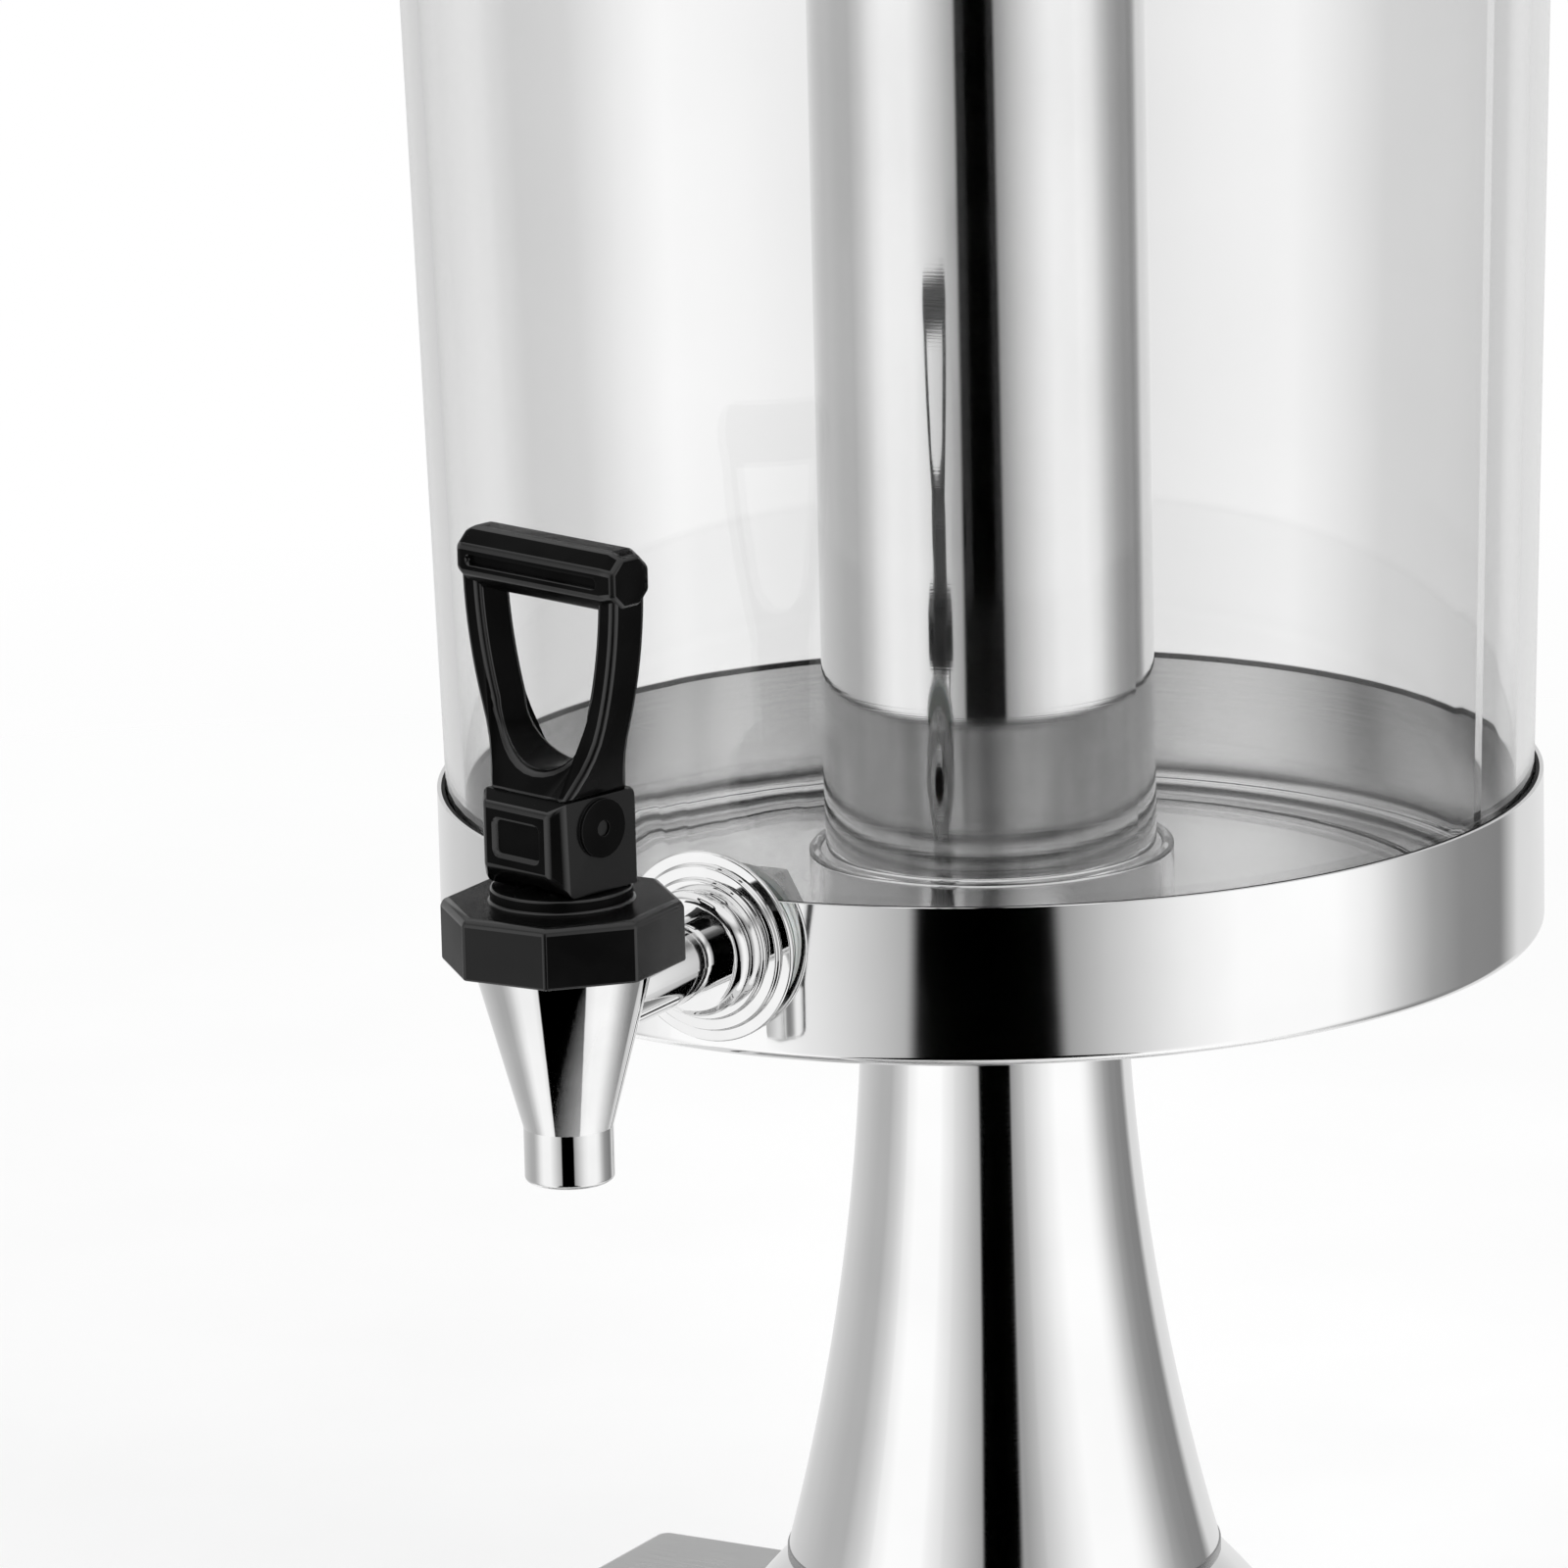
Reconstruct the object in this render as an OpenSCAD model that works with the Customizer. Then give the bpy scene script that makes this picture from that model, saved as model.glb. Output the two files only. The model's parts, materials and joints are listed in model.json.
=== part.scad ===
// Drink dispenser: a clear tank with an ice tube, on a column stand, with a self-closing lever tap.
// The tap faces -Y, +Z is up, and the origin is the centre of the footprint on the table.

/* [Base] */
// Width of the base
base_w = 252; // [240:1:300]
// Reach of the base ahead of the column axis
base_front = 265; // [255:1:320]
// Reach of the base behind the column axis
base_back = 75; // [72:1:110]
// Height of the base's top face above the table
base_top = 38; // [36:1:60]
// Radius of the base's upright corners
base_corner_r = 3; // [2:0.5:20]
// Sheet thickness of the base shell
base_sheet = 1; // [0.8:0.1:1.6]
// Gap between the shell's lower edge and the table
base_gap = 5; // [3:0.5:7]
// Thickness of the bottom plate
plate_t = 3; // [2:0.5:5]

/* [Feet] */
// Height of the rubber feet
foot_h = 9; // [8.5:0.5:12]
// Radius of a foot on the table
foot_r = 13; // [10:0.5:16]
// Distance of the foot centres from the base's sides
foot_inset = 26; // [24:1:32]
// Radius of the screws that hold feet and bottom plate
foot_screw_r = 2; // [1.5:0.25:2.5]
// Radius of the foot screws' heads
foot_head_r = 4; // [3.5:0.25:5]
// Height of the foot screws' heads
foot_head_h = 2.6; // [2:0.2:3]
// Depth of the recess for a screw's head
foot_recess = 4.5; // [4:0.25:5]
// Radius that a foot loses towards its top
foot_taper = 2; // [0:0.5:3]
// Wall of the posts that take the foot screws
post_wall = 3; // [2:0.5:4]

/* [Drip tray] */
// Width of the tray's well
tray_w = 164; // [120:1:172]
// Depth of the tray's well, front to back
tray_d = 130; // [100:1:138]
// Height of the tray's well
tray_h = 18; // [12:1:20]
// Wall of the tray
tray_wall = 1.6; // [1.2:0.1:2.5]
// Width of the tray's lip on the base
tray_lip = 4; // [3:0.5:5]
// Thickness of the tray's lip
tray_lip_t = 1.5; // [1:0.1:2.5]
// Radius of the tray's upright corners
tray_corner_r = 14; // [8:1:20]
// Thickness of the grid
grid_t = 1.5; // [1:0.1:2.5]
// Width of the grid's slots
slot_w = 5; // [4:0.5:7]
// Spacing of the grid's slots
slot_pitch = 10; // [8.5:0.5:14]
// Number of slots in each of the grid's two columns
slot_rows = 11; // [5:1:11]
// Plain margin round the grid's slots
grid_margin = 10; // [8:1:16]

/* [Column] */
// Radius of the column under the pan
column_top_r = 26.6; // [24:0.1:32]
// Radius of the arc that flares the column
column_arc_r = 495; // [400:5:700]
// Height of the column
column_h = 130.3; // [100:0.1:160]
// Sheet thickness of the column
column_sheet = 1; // [0.8:0.1:1.6]
// Height of the ring under the column
hoop_h = 2.5; // [2:0.5:8]
// Step of that ring beyond the column's wall, outside
hoop_step = 0.3; // [0.2:0.1:2]
// Lap of that ring inside the column's wall
hoop_lap = 2; // [1.5:0.25:3]
// Height of the skirt under the ring
skirt_h = 35.7; // [24:0.1:40]
// Radius of the skirt on the base
skirt_r = 70; // [60:1:71]
// Radius of the arc that domes the skirt
skirt_arc_r = 140; // [90:5:200]
// Sheet thickness of the skirt
skirt_sheet = 1.2; // [0.8:0.1:1.6]
// Radius of the tie rod
rod_r = 3; // [2.5:0.25:3.5]
// Width of the tie nuts across their flats
rod_nut_af = 10; // [9:0.5:12]
// Height of the tie nuts
rod_nut_h = 5; // [4:0.2:5]
// Radius of the tie washers
rod_washer_r = 9; // [7:0.5:11]
// Thickness of the tie washers
rod_washer_t = 1.6; // [1:0.1:1.8]

/* [Pan] */
// Outer radius of the pan
pan_r = 111; // [108:0.5:116]
// Height of the pan
pan_h = 31.5; // [29:0.5:40]
// Sheet thickness of the pan
pan_sheet = 0.8; // [0.6:0.1:1]
// Outer radius of the pan's bottom edge
pan_edge_r = 2; // [1.5:0.1:3]
// Depth of the dish that sits in the column's mouth
dish_depth = 10; // [9.5:0.5:14]
// Gap between the dish and the column
dish_gap = 0.4; // [0.3:0.1:1]

/* [Tank] */
// Height of the tank
tank_h = 285; // [200:1:340]
// Wall of the tank
tank_wall = 3.6; // [3:0.1:5]
// Floor of the tank
tank_floor = 3.2; // [2.5:0.1:5]
// Draft of the tank's wall, in degrees
tank_draft = 1.48; // [0.5:0.02:2]
// Radius of the tank's bottom edge
tank_edge_r = 4; // [2.5:0.5:6]
// Radius at which the tank's floor steps up
step_r = 92; // [80:1:96]
// Height of the step in the tank's floor
step_h = 1.2; // [0.6:0.1:2]
// Radius of the bead round the tank's mouth
rim_bead_r = 2; // [1.5:0.1:2.5]
// Thickness of the rubber between tank and pan rim
gasket_t = 0.7; // [0.5:0.1:1.2]
// Height of the rubber strip, which is flush with the pan's rim
gasket_h = 1; // [0.8:0.1:6]

/* [Ice tube] */
// Outer radius of the ice tube
tube_r = 33.4; // [28:0.1:36]
// Sheet thickness of the ice tube
tube_sheet = 0.8; // [0.6:0.1:1.2]
// Gap between the ice tube and its ring
tube_gap = 1; // [0.5:0.1:1.5]
// Drop of the tube's top below the tank's rim
tube_drop = 10; // [6:1:40]
// Radius of the tube's bottom edge
tube_edge_r = 3; // [1.5:0.5:6]
// Wall of the ring that locates the tube
collar_wall = 2.5; // [2:0.1:4]
// Height of that ring
collar_h = 13; // [8:0.5:20]

/* [Lid] */
// Height of the lid's dome
lid_rise = 22; // [16:1:34]
// Sheet thickness of the lid
lid_sheet = 0.8; // [0.6:0.1:1.2]
// Height of the lid's skirt round the tank's mouth
lid_skirt = 10; // [7:0.5:14]
// Gap between the lid's skirt and the tank's rim
lid_gap = 0.5; // [0.3:0.1:1]
// Width of the lid's flat shoulder
lid_shoulder = 13; // [10:1:20]
// Radius of the flat seat under the knob
knob_seat_r = 12; // [10.5:0.5:15]
// Radius of the knob
knob_r = 17; // [13:0.5:22]
// Height of the knob
knob_h = 25; // [23:0.5:34]
// Radius of the knob's rounded edge
knob_edge_r = 8; // [6:0.5:8.5]
// Radius of the knob's neck
knob_neck_r = 9; // [7.5:0.5:10]
// Radius of the knob's screw
knob_screw_r = 2.5; // [2:0.1:3]
// Length of the knob's screw inside the knob
knob_screw_len = 15; // [10:0.5:18]
// Radius of the screw's head
knob_head_r = 4.5; // [4:0.1:5]
// Height of the screw's head
knob_head_h = 2.8; // [2:0.1:3.5]
// Radius of the washer under the screw's head
knob_washer_r = 7; // [6:0.5:9]
// Thickness of the washer under the screw's head
knob_washer_t = 1; // [0.6:0.1:1.5]

/* [Tap] */
// Distance of the tap's upright axis from the column axis
tap_reach = 167; // [160:1:180]
// Drop of the shank's axis below the pan's rim
shank_drop = 9.3; // [8.5:0.1:11]
// Radius of the shank
shank_r = 8; // [7.5:0.1:8.5]
// Radius of the water way through the shank
shank_bore_r = 4.2; // [3:0.1:4.4]
// Outer radius of the spout
spout_r = 8.5; // [7.5:0.1:10]
// Radius of the spout's bore
spout_bore_r = 6.2; // [4:0.1:6.5]
// Length of the spout's straight end
spout_len = 10.5; // [6:0.5:16]
// Height of the cone between spout and bonnet
cone_h = 32; // [28:0.5:38]
// Radius of the cone under the bonnet
cone_top_r = 17.1; // [16.5:0.1:18.5]
// Height of the cone's top above the shank's axis
body_rise = 10.1; // [9.8:0.1:11.5]
// Radius of the tap's chamber
chamber_r = 10; // [9.5:0.1:11]
// Radius of the shank's shoulder
shoulder_r = 12.5; // [11:0.5:13.5]
// Width of the shank's shoulder
shoulder_w = 4.6; // [3:0.2:6]
// Radius of the stepped flange
flange_r = 18.8; // [17.5:0.1:19]
// Thickness of each of the flange's three steps
flange_step_t = 1.35; // [1:0.05:1.6]
// Radius that each of the flange's steps loses
flange_step_r = 2.5; // [1.5:0.1:2.6]
// Thickness of the seal between flange and pan
flange_seal_t = 1.7; // [1.2:0.1:2.5]
// Distance of the seal's edge inside the flange's edge
flange_seal_inset = 1.8; // [1:0.1:3]
// Radius of the seal's spigot that reaches the tank through the pan's notch
spigot_r = 10; // [9.5:0.1:10.5]
// Rise of the flat seat inside the tank's wall
boss_rise = 2.9; // [2.4:0.1:4]
// Margin of that seat round the seal
boss_margin = 2; // [1:0.5:2.5]
// Thickness of the seal inside the tank
inner_seal_t = 2; // [1:0.1:3]
// Thickness of the washer inside the tank
shank_washer_t = 1.2; // [0.8:0.1:2]
// Outer radius of the seal and the washer inside the tank
inner_ring_r = 13.5; // [12:0.1:14]
// Width of the shank nut across its flats
shank_nut_af = 23; // [20:0.5:24]
// Height of the shank nut
shank_nut_h = 6; // [5:0.5:7]
// Length of the shank that shows past its nut
shank_show = 1.5; // [0.5:0.5:3]

/* [Bonnet and valve] */
// Radius of the eight-sided bonnet over its corners
bonnet_r = 23.1; // [21:0.1:25]
// Height of the bonnet
bonnet_h = 12; // [11:0.5:15]
// Radius of the bonnet's round neck
hub_r = 13.4; // [11:0.1:15]
// Height of the bonnet's round neck
hub_h = 2.7; // [2:0.1:4]
// Thickness of the bonnet's roof over the spring
hub_roof = 3; // [2:0.1:3.5]
// Radius of the threaded ring on the tap body
thread_r = 15.6; // [14.5:0.1:16]
// Height of the threaded ring on the tap body
thread_h = 7.2; // [6:0.1:7.5]
// Thickness of the seal under the bonnet
bonnet_seal_t = 1; // [0.6:0.1:1.2]
// Radius of the stem
stem_r = 3.2; // [2.8:0.1:3.6]
// Radius of the seat cup
seat_r = 8.4; // [7.2:0.1:8.8]
// Height of the seat cup
seat_h = 9; // [8:0.2:9.4]
// Thickness of the seat cup's bottom
seat_skin = 3; // [2:0.2:3.6]
// Radius of the stem's foot inside the seat cup
stem_foot_r = 5; // [4.4:0.1:5.4]
// Height of the stem's foot
stem_foot_h = 2.2; // [1.6:0.1:2.6]
// Radius of the stem's collar under the spring
stem_collar_r = 6.4; // [6:0.1:7]
// Thickness of the stem's collar
stem_collar_t = 1.5; // [1:0.1:2]
// Distance of the stem's collar above the seat cup
stem_collar_rise = 5; // [4:0.2:6]
// Wall of the stem above its pin
stem_eye_wall = 2.1; // [1.5:0.1:2.6]
// Mean radius of the spring
spring_r = 5; // [4.6:0.1:5.4]
// Radius of the spring's wire
wire_r = 0.5; // [0.4:0.05:0.6]
// Number of the spring's turns
spring_turns = 5; // [4:1:6]

/* [Lever] */
// Turn of the lever about the tap's upright axis, in degrees
lever_turn = 15; // [0:1:30]
// Largest tilt of the lever, in degrees
lever_tilt = 25; // [15:1:28]
// Width of the lever's block
block_w = 22; // [19:0.5:25]
// Depth of the lever's block
block_d = 23; // [22.5:0.5:26]
// Height of the lever's block
block_h = 18.2; // [17.5:0.2:22]
// Chamfer of the block's upright edges
block_chamfer = 2.5; // [1.5:0.1:4]
// Distance from the stem to the heel on which the block rolls
heel = 7.5; // [6.5:0.1:8]
// Height of the pin above the block's underside
pin_rise = 12.2; // [11:0.1:13]
// Radius of the pin
pin_r = 1.5; // [1.2:0.1:1.8]
// Radius of the round pads at the pin's ends
pad_r = 5.6; // [3.5:0.1:5.8]
// Height of the round pads at the pin's ends
pad_h = 0.8; // [0.5:0.1:1.5]
// Height of the grip bar's axis above the block's underside
bar_rise = 60.2; // [50:0.2:70]
// Length of the grip bar
bar_len = 43.5; // [43:0.5:56]
// Radius of the grip bar
bar_r = 5.8; // [5:0.1:8]
// Rounding of the grip bar's ends
bar_edge_r = 4; // [2:0.1:4.8]
// Width of the loop over its legs, at the bar
loop_w = 41; // [38:0.5:44]
// Radius of the arc that curves the legs
leg_arc_r = 92; // [85:1:120]
// Width of a leg
leg_w = 4.8; // [4:0.1:6]
// Thickness of the legs
leg_t = 8.5; // [6:0.1:9]
// Depth of the neck where the legs meet the block
neck_d = 17; // [10:0.5:18.5]
// Height over which the neck thins to the legs
neck_rise = 14; // [6:1:20]
// Radius of the rounded lower end of the loop's opening
loop_round_r = 11.8; // [10:0.1:12.5]

/* [Hidden] */
// Gap between flat faces that rest on each other and lift apart
rest_gap = 0.1;
// Gap between round faces that lift apart
lift_gap = 0.3;
// Radial clearance of a shaft that turns or slides
run_gap = 0.06;
// Radial clearance of a screw, rod or pin that stays put
fix_gap = 0.03;
// Clearance of the lever's slot round the stem
slot_gap = 0.4;
// Clearance of the pan's notch round the tap's spigot
notch_gap = 0.5;
// Clearance at each end of the spring
spring_gap = 0.05;
// Room round the spring inside the bonnet
spring_room = 2.5;
// Length of a rod or screw that shows past its nut, or stops short of its hole's end
end_room = 1;
// Overlap that joins two shapes of one solid
lap = 0.2;
// Length by which a cut runs past a face
past = 1;
$fn = 96;

// Places along the column axis
plate_z = foot_h;
hoop_z = base_top + skirt_h;
column_z = hoop_z + hoop_h;
pan_z = column_z + column_h;
ring_z = pan_z + pan_h;
tank_z = pan_z + pan_sheet + rest_gap;
tank_top = tank_z + tank_h;
floor_z = tank_z + tank_floor;
tube_z = floor_z + rest_gap;
tube_top = tank_top - tube_drop;
lid_z = tank_top + rest_gap;
dish_z = pan_z - dish_depth;
dish_r = column_top_r - column_sheet - dish_gap;

// Radii of the tank, which follow from the pan and the rubber between them
tank_rim_r = pan_r - pan_sheet - gasket_t - lift_gap;
tank_bottom_r = tank_rim_r - (ring_z - tank_z) * tan(tank_draft);
tank_top_r = tank_bottom_r + tank_h * tan(tank_draft);
mouth_r = tank_top_r + rim_bead_r;
collar_r = tube_r + tube_gap + collar_wall;
lid_in_r = mouth_r + lid_gap;
lid_r = lid_in_r + lid_sheet;
dome_r = lid_r - lid_shoulder;
dome_arc_r = (pow(dome_r, 2) + pow(lid_rise, 2)) / (2 * lid_rise);
knob_seat_drop = dome_arc_r - sqrt(pow(dome_arc_r, 2) - pow(knob_seat_r, 2));
knob_z = lid_z + lid_rise - knob_seat_drop;
knob_seat = knob_z - lid_sheet - knob_washer_t;

// The column axis lies behind the middle of the footprint
axis_y = (base_front - max(base_back, lid_r)) / 2;
hoop_out_r = column_bottom_r() + hoop_step;
hoop_in_r = column_bottom_r() - column_sheet - hoop_lap;
skirt_top_r = hoop_out_r - hoop_step / 2;
post_top = base_top - base_sheet;
screw_top = post_top - 2 * end_room;

// Places in the tap's own frame: its upright axis and its shank's axis cross at the origin
flange_steps = 3;
bonnet_sides = 8;
seat_step = 0.5;
shank_z = ring_z - shank_drop;
cone_z = body_rise - cone_h;
tip_z = cone_z - spout_len;
seat_z = -shank_bore_r - seat_step;
thread_top = body_rise + thread_h;
bonnet_top = body_rise + bonnet_h;
hub_top = bonnet_top + hub_h;
spring_top = hub_top - hub_roof;
pocket_r = spring_r + wire_r + spring_room;
block_z = hub_top + lift_gap;
pin_z = block_z + pin_rise;
bar_z = block_z + bar_rise;
cup_z = seat_z + rest_gap;
stem_z = cup_z + seat_skin;
collar_z = cup_z + seat_h + stem_collar_rise;
spring_z = collar_z + stem_collar_t;
stem_top = pin_z + pin_r + stem_eye_wall;
notch_r = spigot_r + notch_gap;
pan_face = tap_reach - pan_r - lift_gap;
flange_y = pan_face - flange_seal_t;
shoulder_y = flange_y - flange_steps * flange_step_t;
flange_seal_r = flange_r - flange_seal_inset;
wall_in_r = tank_bottom_r + (shank_z - tank_z) * tan(tank_draft) - tank_wall;
boss_y = tap_reach - wall_in_r + boss_rise;
boss_r = inner_ring_r + boss_margin;
inner_washer_y = boss_y + inner_seal_t;
shank_nut_y = inner_washer_y + shank_washer_t;
shank_end = shank_nut_y + shank_nut_h + shank_show;

// Centre of the tray, which lies under the spout
tray_y = axis_y - tap_reach;
tray_z = base_top - tray_h;
grid_z = base_top + tray_lip_t - grid_t;
grid_ledge = 3;

// Radius of the column's outer face at its lower end
function column_bottom_r() = column_top_r + column_arc_r - sqrt(pow(column_arc_r, 2) - pow(column_h, 2));

// Radius over the corners of a hexagon with a width across its flats
function hex_r(flats) = flats / 2 / cos(30);

// Centre of the arc of radius r through p and q that bulges to the right of the way from p to q
function arc_centre(p, q, r) =
    let (
        half = (q - p) / 2,
        chord = norm(half),
        reach = sqrt(r * r - chord * chord)
    )
    p + half + [half[1], -half[0]] / chord * -reach;

// Moves a shape to the column axis
module at_axis() {
    translate([0, axis_y, 0]) children();
}

// Moves a shape to the tap's own frame
module at_tap() {
    translate([0, axis_y - tap_reach, shank_z]) children();
}

// Moves a shape to the lever's frame, which is turned about the tap's upright axis
module at_lever() {
    at_tap() rotate([0, 0, -lever_turn]) children();
}

// Puts a shape at each foot
module at_feet() {
    side = base_w / 2 - foot_inset;
    for (x = [-side, side]) {
        for (y = [axis_y - base_front + foot_inset, axis_y + base_back - foot_inset]) {
            translate([x, y, 0]) children();
        }
    }
}

// Flat band of a turned profile
module band(r_in, r_out, z_low, z_high) {
    translate([r_in, z_low]) square([r_out - r_in, z_high - z_low]);
}

// Turned cylinder or ring on the Z axis
module ring(r_in, r_out, z_low, z_high) {
    rotate_extrude() band(r_in, r_out, z_low, z_high);
}

// Cylinder along Y
module bar_y(r, y_low, y_high) {
    translate([0, y_low, 0]) rotate([-90, 0, 0]) cylinder(r = r, h = y_high - y_low);
}

// Cylinder along X, centred
module bar_x(r, length) {
    rotate([0, 90, 0]) cylinder(r = r, h = length, center = true);
}

// Ring along Y
module ring_y(r_in, r_out, y_low, y_high) {
    difference() {
        bar_y(r_out, y_low, y_high);
        bar_y(r_in, y_low - past, y_high + past);
    }
}

// Rectangle with round corners
module rounded(w, d, r) {
    square([w - 2 * r, d], center = true);
    square([w, d - 2 * r], center = true);
    for (x = [-1, 1]) {
        for (y = [-1, 1]) {
            translate([x * (w / 2 - r), y * (d / 2 - r)]) circle(r);
        }
    }
}

// Slot with round ends along X
module slot(length, w) {
    square([length - w, w], center = true);
    for (end = [-1, 1]) {
        translate([end * (length - w) / 2, 0]) circle(w / 2);
    }
}

// Half profile of a straight cup with a rounded bottom edge
module cup_profile(r, h, edge) {
    translate([0, edge]) square([r, h - edge]);
    square([r - edge, h]);
    translate([r - edge, edge]) circle(edge);
}

// Half profile of a drafted cup with a rounded bottom edge
module drafted_profile(r, h, edge) {
    centre_x = r + edge * tan(tank_draft) - edge / cos(tank_draft);
    touch = [centre_x + edge * cos(tank_draft), edge - edge * sin(tank_draft)];
    polygon([[0, 0], [centre_x, 0], [centre_x, edge], touch, [r + h * tan(tank_draft), h], [0, h]]);
    translate([centre_x, edge]) circle(edge);
}

// Outline of the base, grown or shrunk
module base_outline(grow) {
    translate([0, axis_y + (base_back - base_front) / 2])
        rounded(base_w + 2 * grow, base_front + base_back + 2 * grow, base_corner_r + grow);
}

// Outline of the tray's well, grown or shrunk
module tray_outline(grow) {
    translate([0, tray_y]) rounded(tray_w + 2 * grow, tray_d + 2 * grow, tray_corner_r + grow);
}

// Notch in the pan's wall and its rubber, open at the top, for the tap's spigot
module notch() {
    front = pan_face - past;
    at_tap() {
        bar_y(notch_r, front, boss_y);
        translate([-notch_r, front, 0]) cube([2 * notch_r, boss_y - front, shank_drop + notch_r]);
    }
}

// Outer form of the tank, without its rim, grown by a clearance
module tank_form(grow) {
    at_axis() translate([0, 0, tank_z])
        rotate_extrude() drafted_profile(tank_bottom_r + grow, tank_h, tank_edge_r);
}

module base_shell() {
    post_r = foot_screw_r + post_wall;
    color("gainsboro") difference() {
        union() {
            difference() {
                translate([0, 0, base_gap]) linear_extrude(base_top - base_gap) base_outline(0);
                translate([0, 0, base_gap - past])
                    linear_extrude(base_top - base_gap - base_sheet + past) base_outline(-base_sheet);
            }
            at_feet() ring(0, post_r, plate_z + plate_t, post_top + lap);
        }
        translate([0, 0, tray_z - past]) linear_extrude(tray_h + 2 * past) tray_outline(lift_gap);
        at_axis() ring(0, rod_r + fix_gap, base_gap, base_top + past);
        at_feet() ring(0, foot_screw_r + fix_gap, plate_z, screw_top + end_room);
    }
}

module base_plate() {
    color("darkgray") difference() {
        translate([0, 0, plate_z]) linear_extrude(plate_t) base_outline(-base_sheet - lift_gap);
        at_axis() ring(0, rod_r + fix_gap, plate_z - past, plate_z + plate_t + past);
        at_feet() ring(0, foot_screw_r + fix_gap, plate_z - past, plate_z + plate_t + past);
    }
}

module rubber_feet() {
    color("black") at_feet() difference() {
        cylinder(r1 = foot_r, r2 = foot_r - foot_taper, h = foot_h);
        ring(0, foot_head_r + end_room, -past, foot_recess);
        ring(0, foot_screw_r + fix_gap, 0, foot_h + past);
    }
}

module foot_screws() {
    color("silver") at_feet() {
        ring(0, foot_head_r, foot_recess - foot_head_h, foot_recess);
        ring(0, foot_screw_r, foot_recess - lap, screw_top);
    }
}

module drip_tray() {
    color("dimgray") difference() {
        union() {
            translate([0, 0, tray_z]) linear_extrude(tray_h + lap) tray_outline(0);
            translate([0, 0, base_top + rest_gap]) linear_extrude(tray_lip_t) tray_outline(tray_lip);
        }
        translate([0, 0, tray_z + tray_wall])
            linear_extrude(tray_h + tray_lip_t) tray_outline(-tray_wall - grid_ledge);
        translate([0, 0, grid_z]) linear_extrude(tray_lip_t + grid_t + past) tray_outline(-tray_wall);
    }
}

module drip_grid() {
    slot_len = (tray_w - 2 * tray_wall - 3 * grid_margin) / 2;
    slot_x = (slot_len + grid_margin) / 2;
    first_y = tray_y - (slot_rows - 1) / 2 * slot_pitch;
    color("silver") difference() {
        translate([0, 0, grid_z + rest_gap]) linear_extrude(grid_t) tray_outline(-tray_wall - lift_gap);
        for (x = [-slot_x, slot_x]) {
            for (row = [0 : slot_rows - 1]) {
                translate([x, first_y + row * slot_pitch, grid_z - past])
                    linear_extrude(grid_t + 2 * past) slot(slot_len, slot_w);
            }
        }
    }
}

module column() {
    color("gainsboro") at_axis() translate([0, 0, column_z]) rotate_extrude() intersection() {
        square([column_bottom_r() + past, column_h]);
        translate([column_top_r + column_arc_r, column_h]) difference() {
            circle(column_arc_r + column_sheet, $fn = 720);
            circle(column_arc_r, $fn = 720);
        }
    }
}

module column_ring() {
    color("silver") at_axis() ring(hoop_in_r, hoop_out_r, hoop_z, column_z);
}

module column_foot() {
    centre = arc_centre([skirt_r, base_top], [skirt_top_r, hoop_z], skirt_arc_r);
    color("gainsboro") at_axis() rotate_extrude() {
        intersection() {
            band(hoop_in_r, skirt_r + past, base_top, hoop_z);
            translate(centre) difference() {
                circle(skirt_arc_r, $fn = 720);
                circle(skirt_arc_r - skirt_sheet, $fn = 720);
            }
        }
        band(hoop_in_r, skirt_top_r - skirt_sheet / 2, hoop_z - skirt_sheet, hoop_z);
    }
}

module tie_rod() {
    stack = rod_washer_t + rod_nut_h + end_room;
    color("darkgray") at_axis() ring(0, rod_r, plate_z - stack, dish_z + pan_sheet + stack);
}

// Nut on the tie rod, standing on a height
module tie_nut(z_low) {
    difference() {
        translate([0, 0, z_low]) cylinder(r = hex_r(rod_nut_af), h = rod_nut_h, $fn = 6);
        ring(0, rod_r + fix_gap, z_low - past, z_low + rod_nut_h + past);
    }
}

module tie_nuts() {
    color("silver") at_axis() {
        tie_nut(plate_z - rod_washer_t - rod_nut_h);
        tie_nut(dish_z + pan_sheet + rod_washer_t);
    }
}

module tie_washers() {
    color("silver") at_axis() {
        ring(rod_r + fix_gap, rod_washer_r, plate_z - rod_washer_t, plate_z);
        ring(rod_r + fix_gap, rod_washer_r, dish_z + pan_sheet, dish_z + pan_sheet + rod_washer_t);
    }
}

module pan() {
    color("gainsboro") difference() {
        at_axis() rotate_extrude() {
            difference() {
                translate([0, pan_z]) cup_profile(pan_r, pan_h, pan_edge_r);
                translate([0, pan_z + pan_sheet])
                    cup_profile(pan_r - pan_sheet, pan_h, pan_edge_r - pan_sheet);
                band(0, dish_r - pan_sheet, pan_z - past, pan_z + pan_sheet + past);
            }
            band(dish_r - pan_sheet, dish_r, dish_z, pan_z + pan_sheet / 2);
            band(rod_r + fix_gap, dish_r - pan_sheet / 2, dish_z, dish_z + pan_sheet);
        }
        notch();
    }
}

module tank_gasket() {
    inner = tank_rim_r + lift_gap;
    outer = pan_r - pan_sheet;
    color("black") difference() {
        at_axis() translate([0, 0, ring_z]) rotate_extrude() polygon([
            [inner - gasket_h * tan(tank_draft), -gasket_h], [outer, -gasket_h], [outer, 0], [inner, 0]
        ]);
        notch();
    }
}

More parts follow.
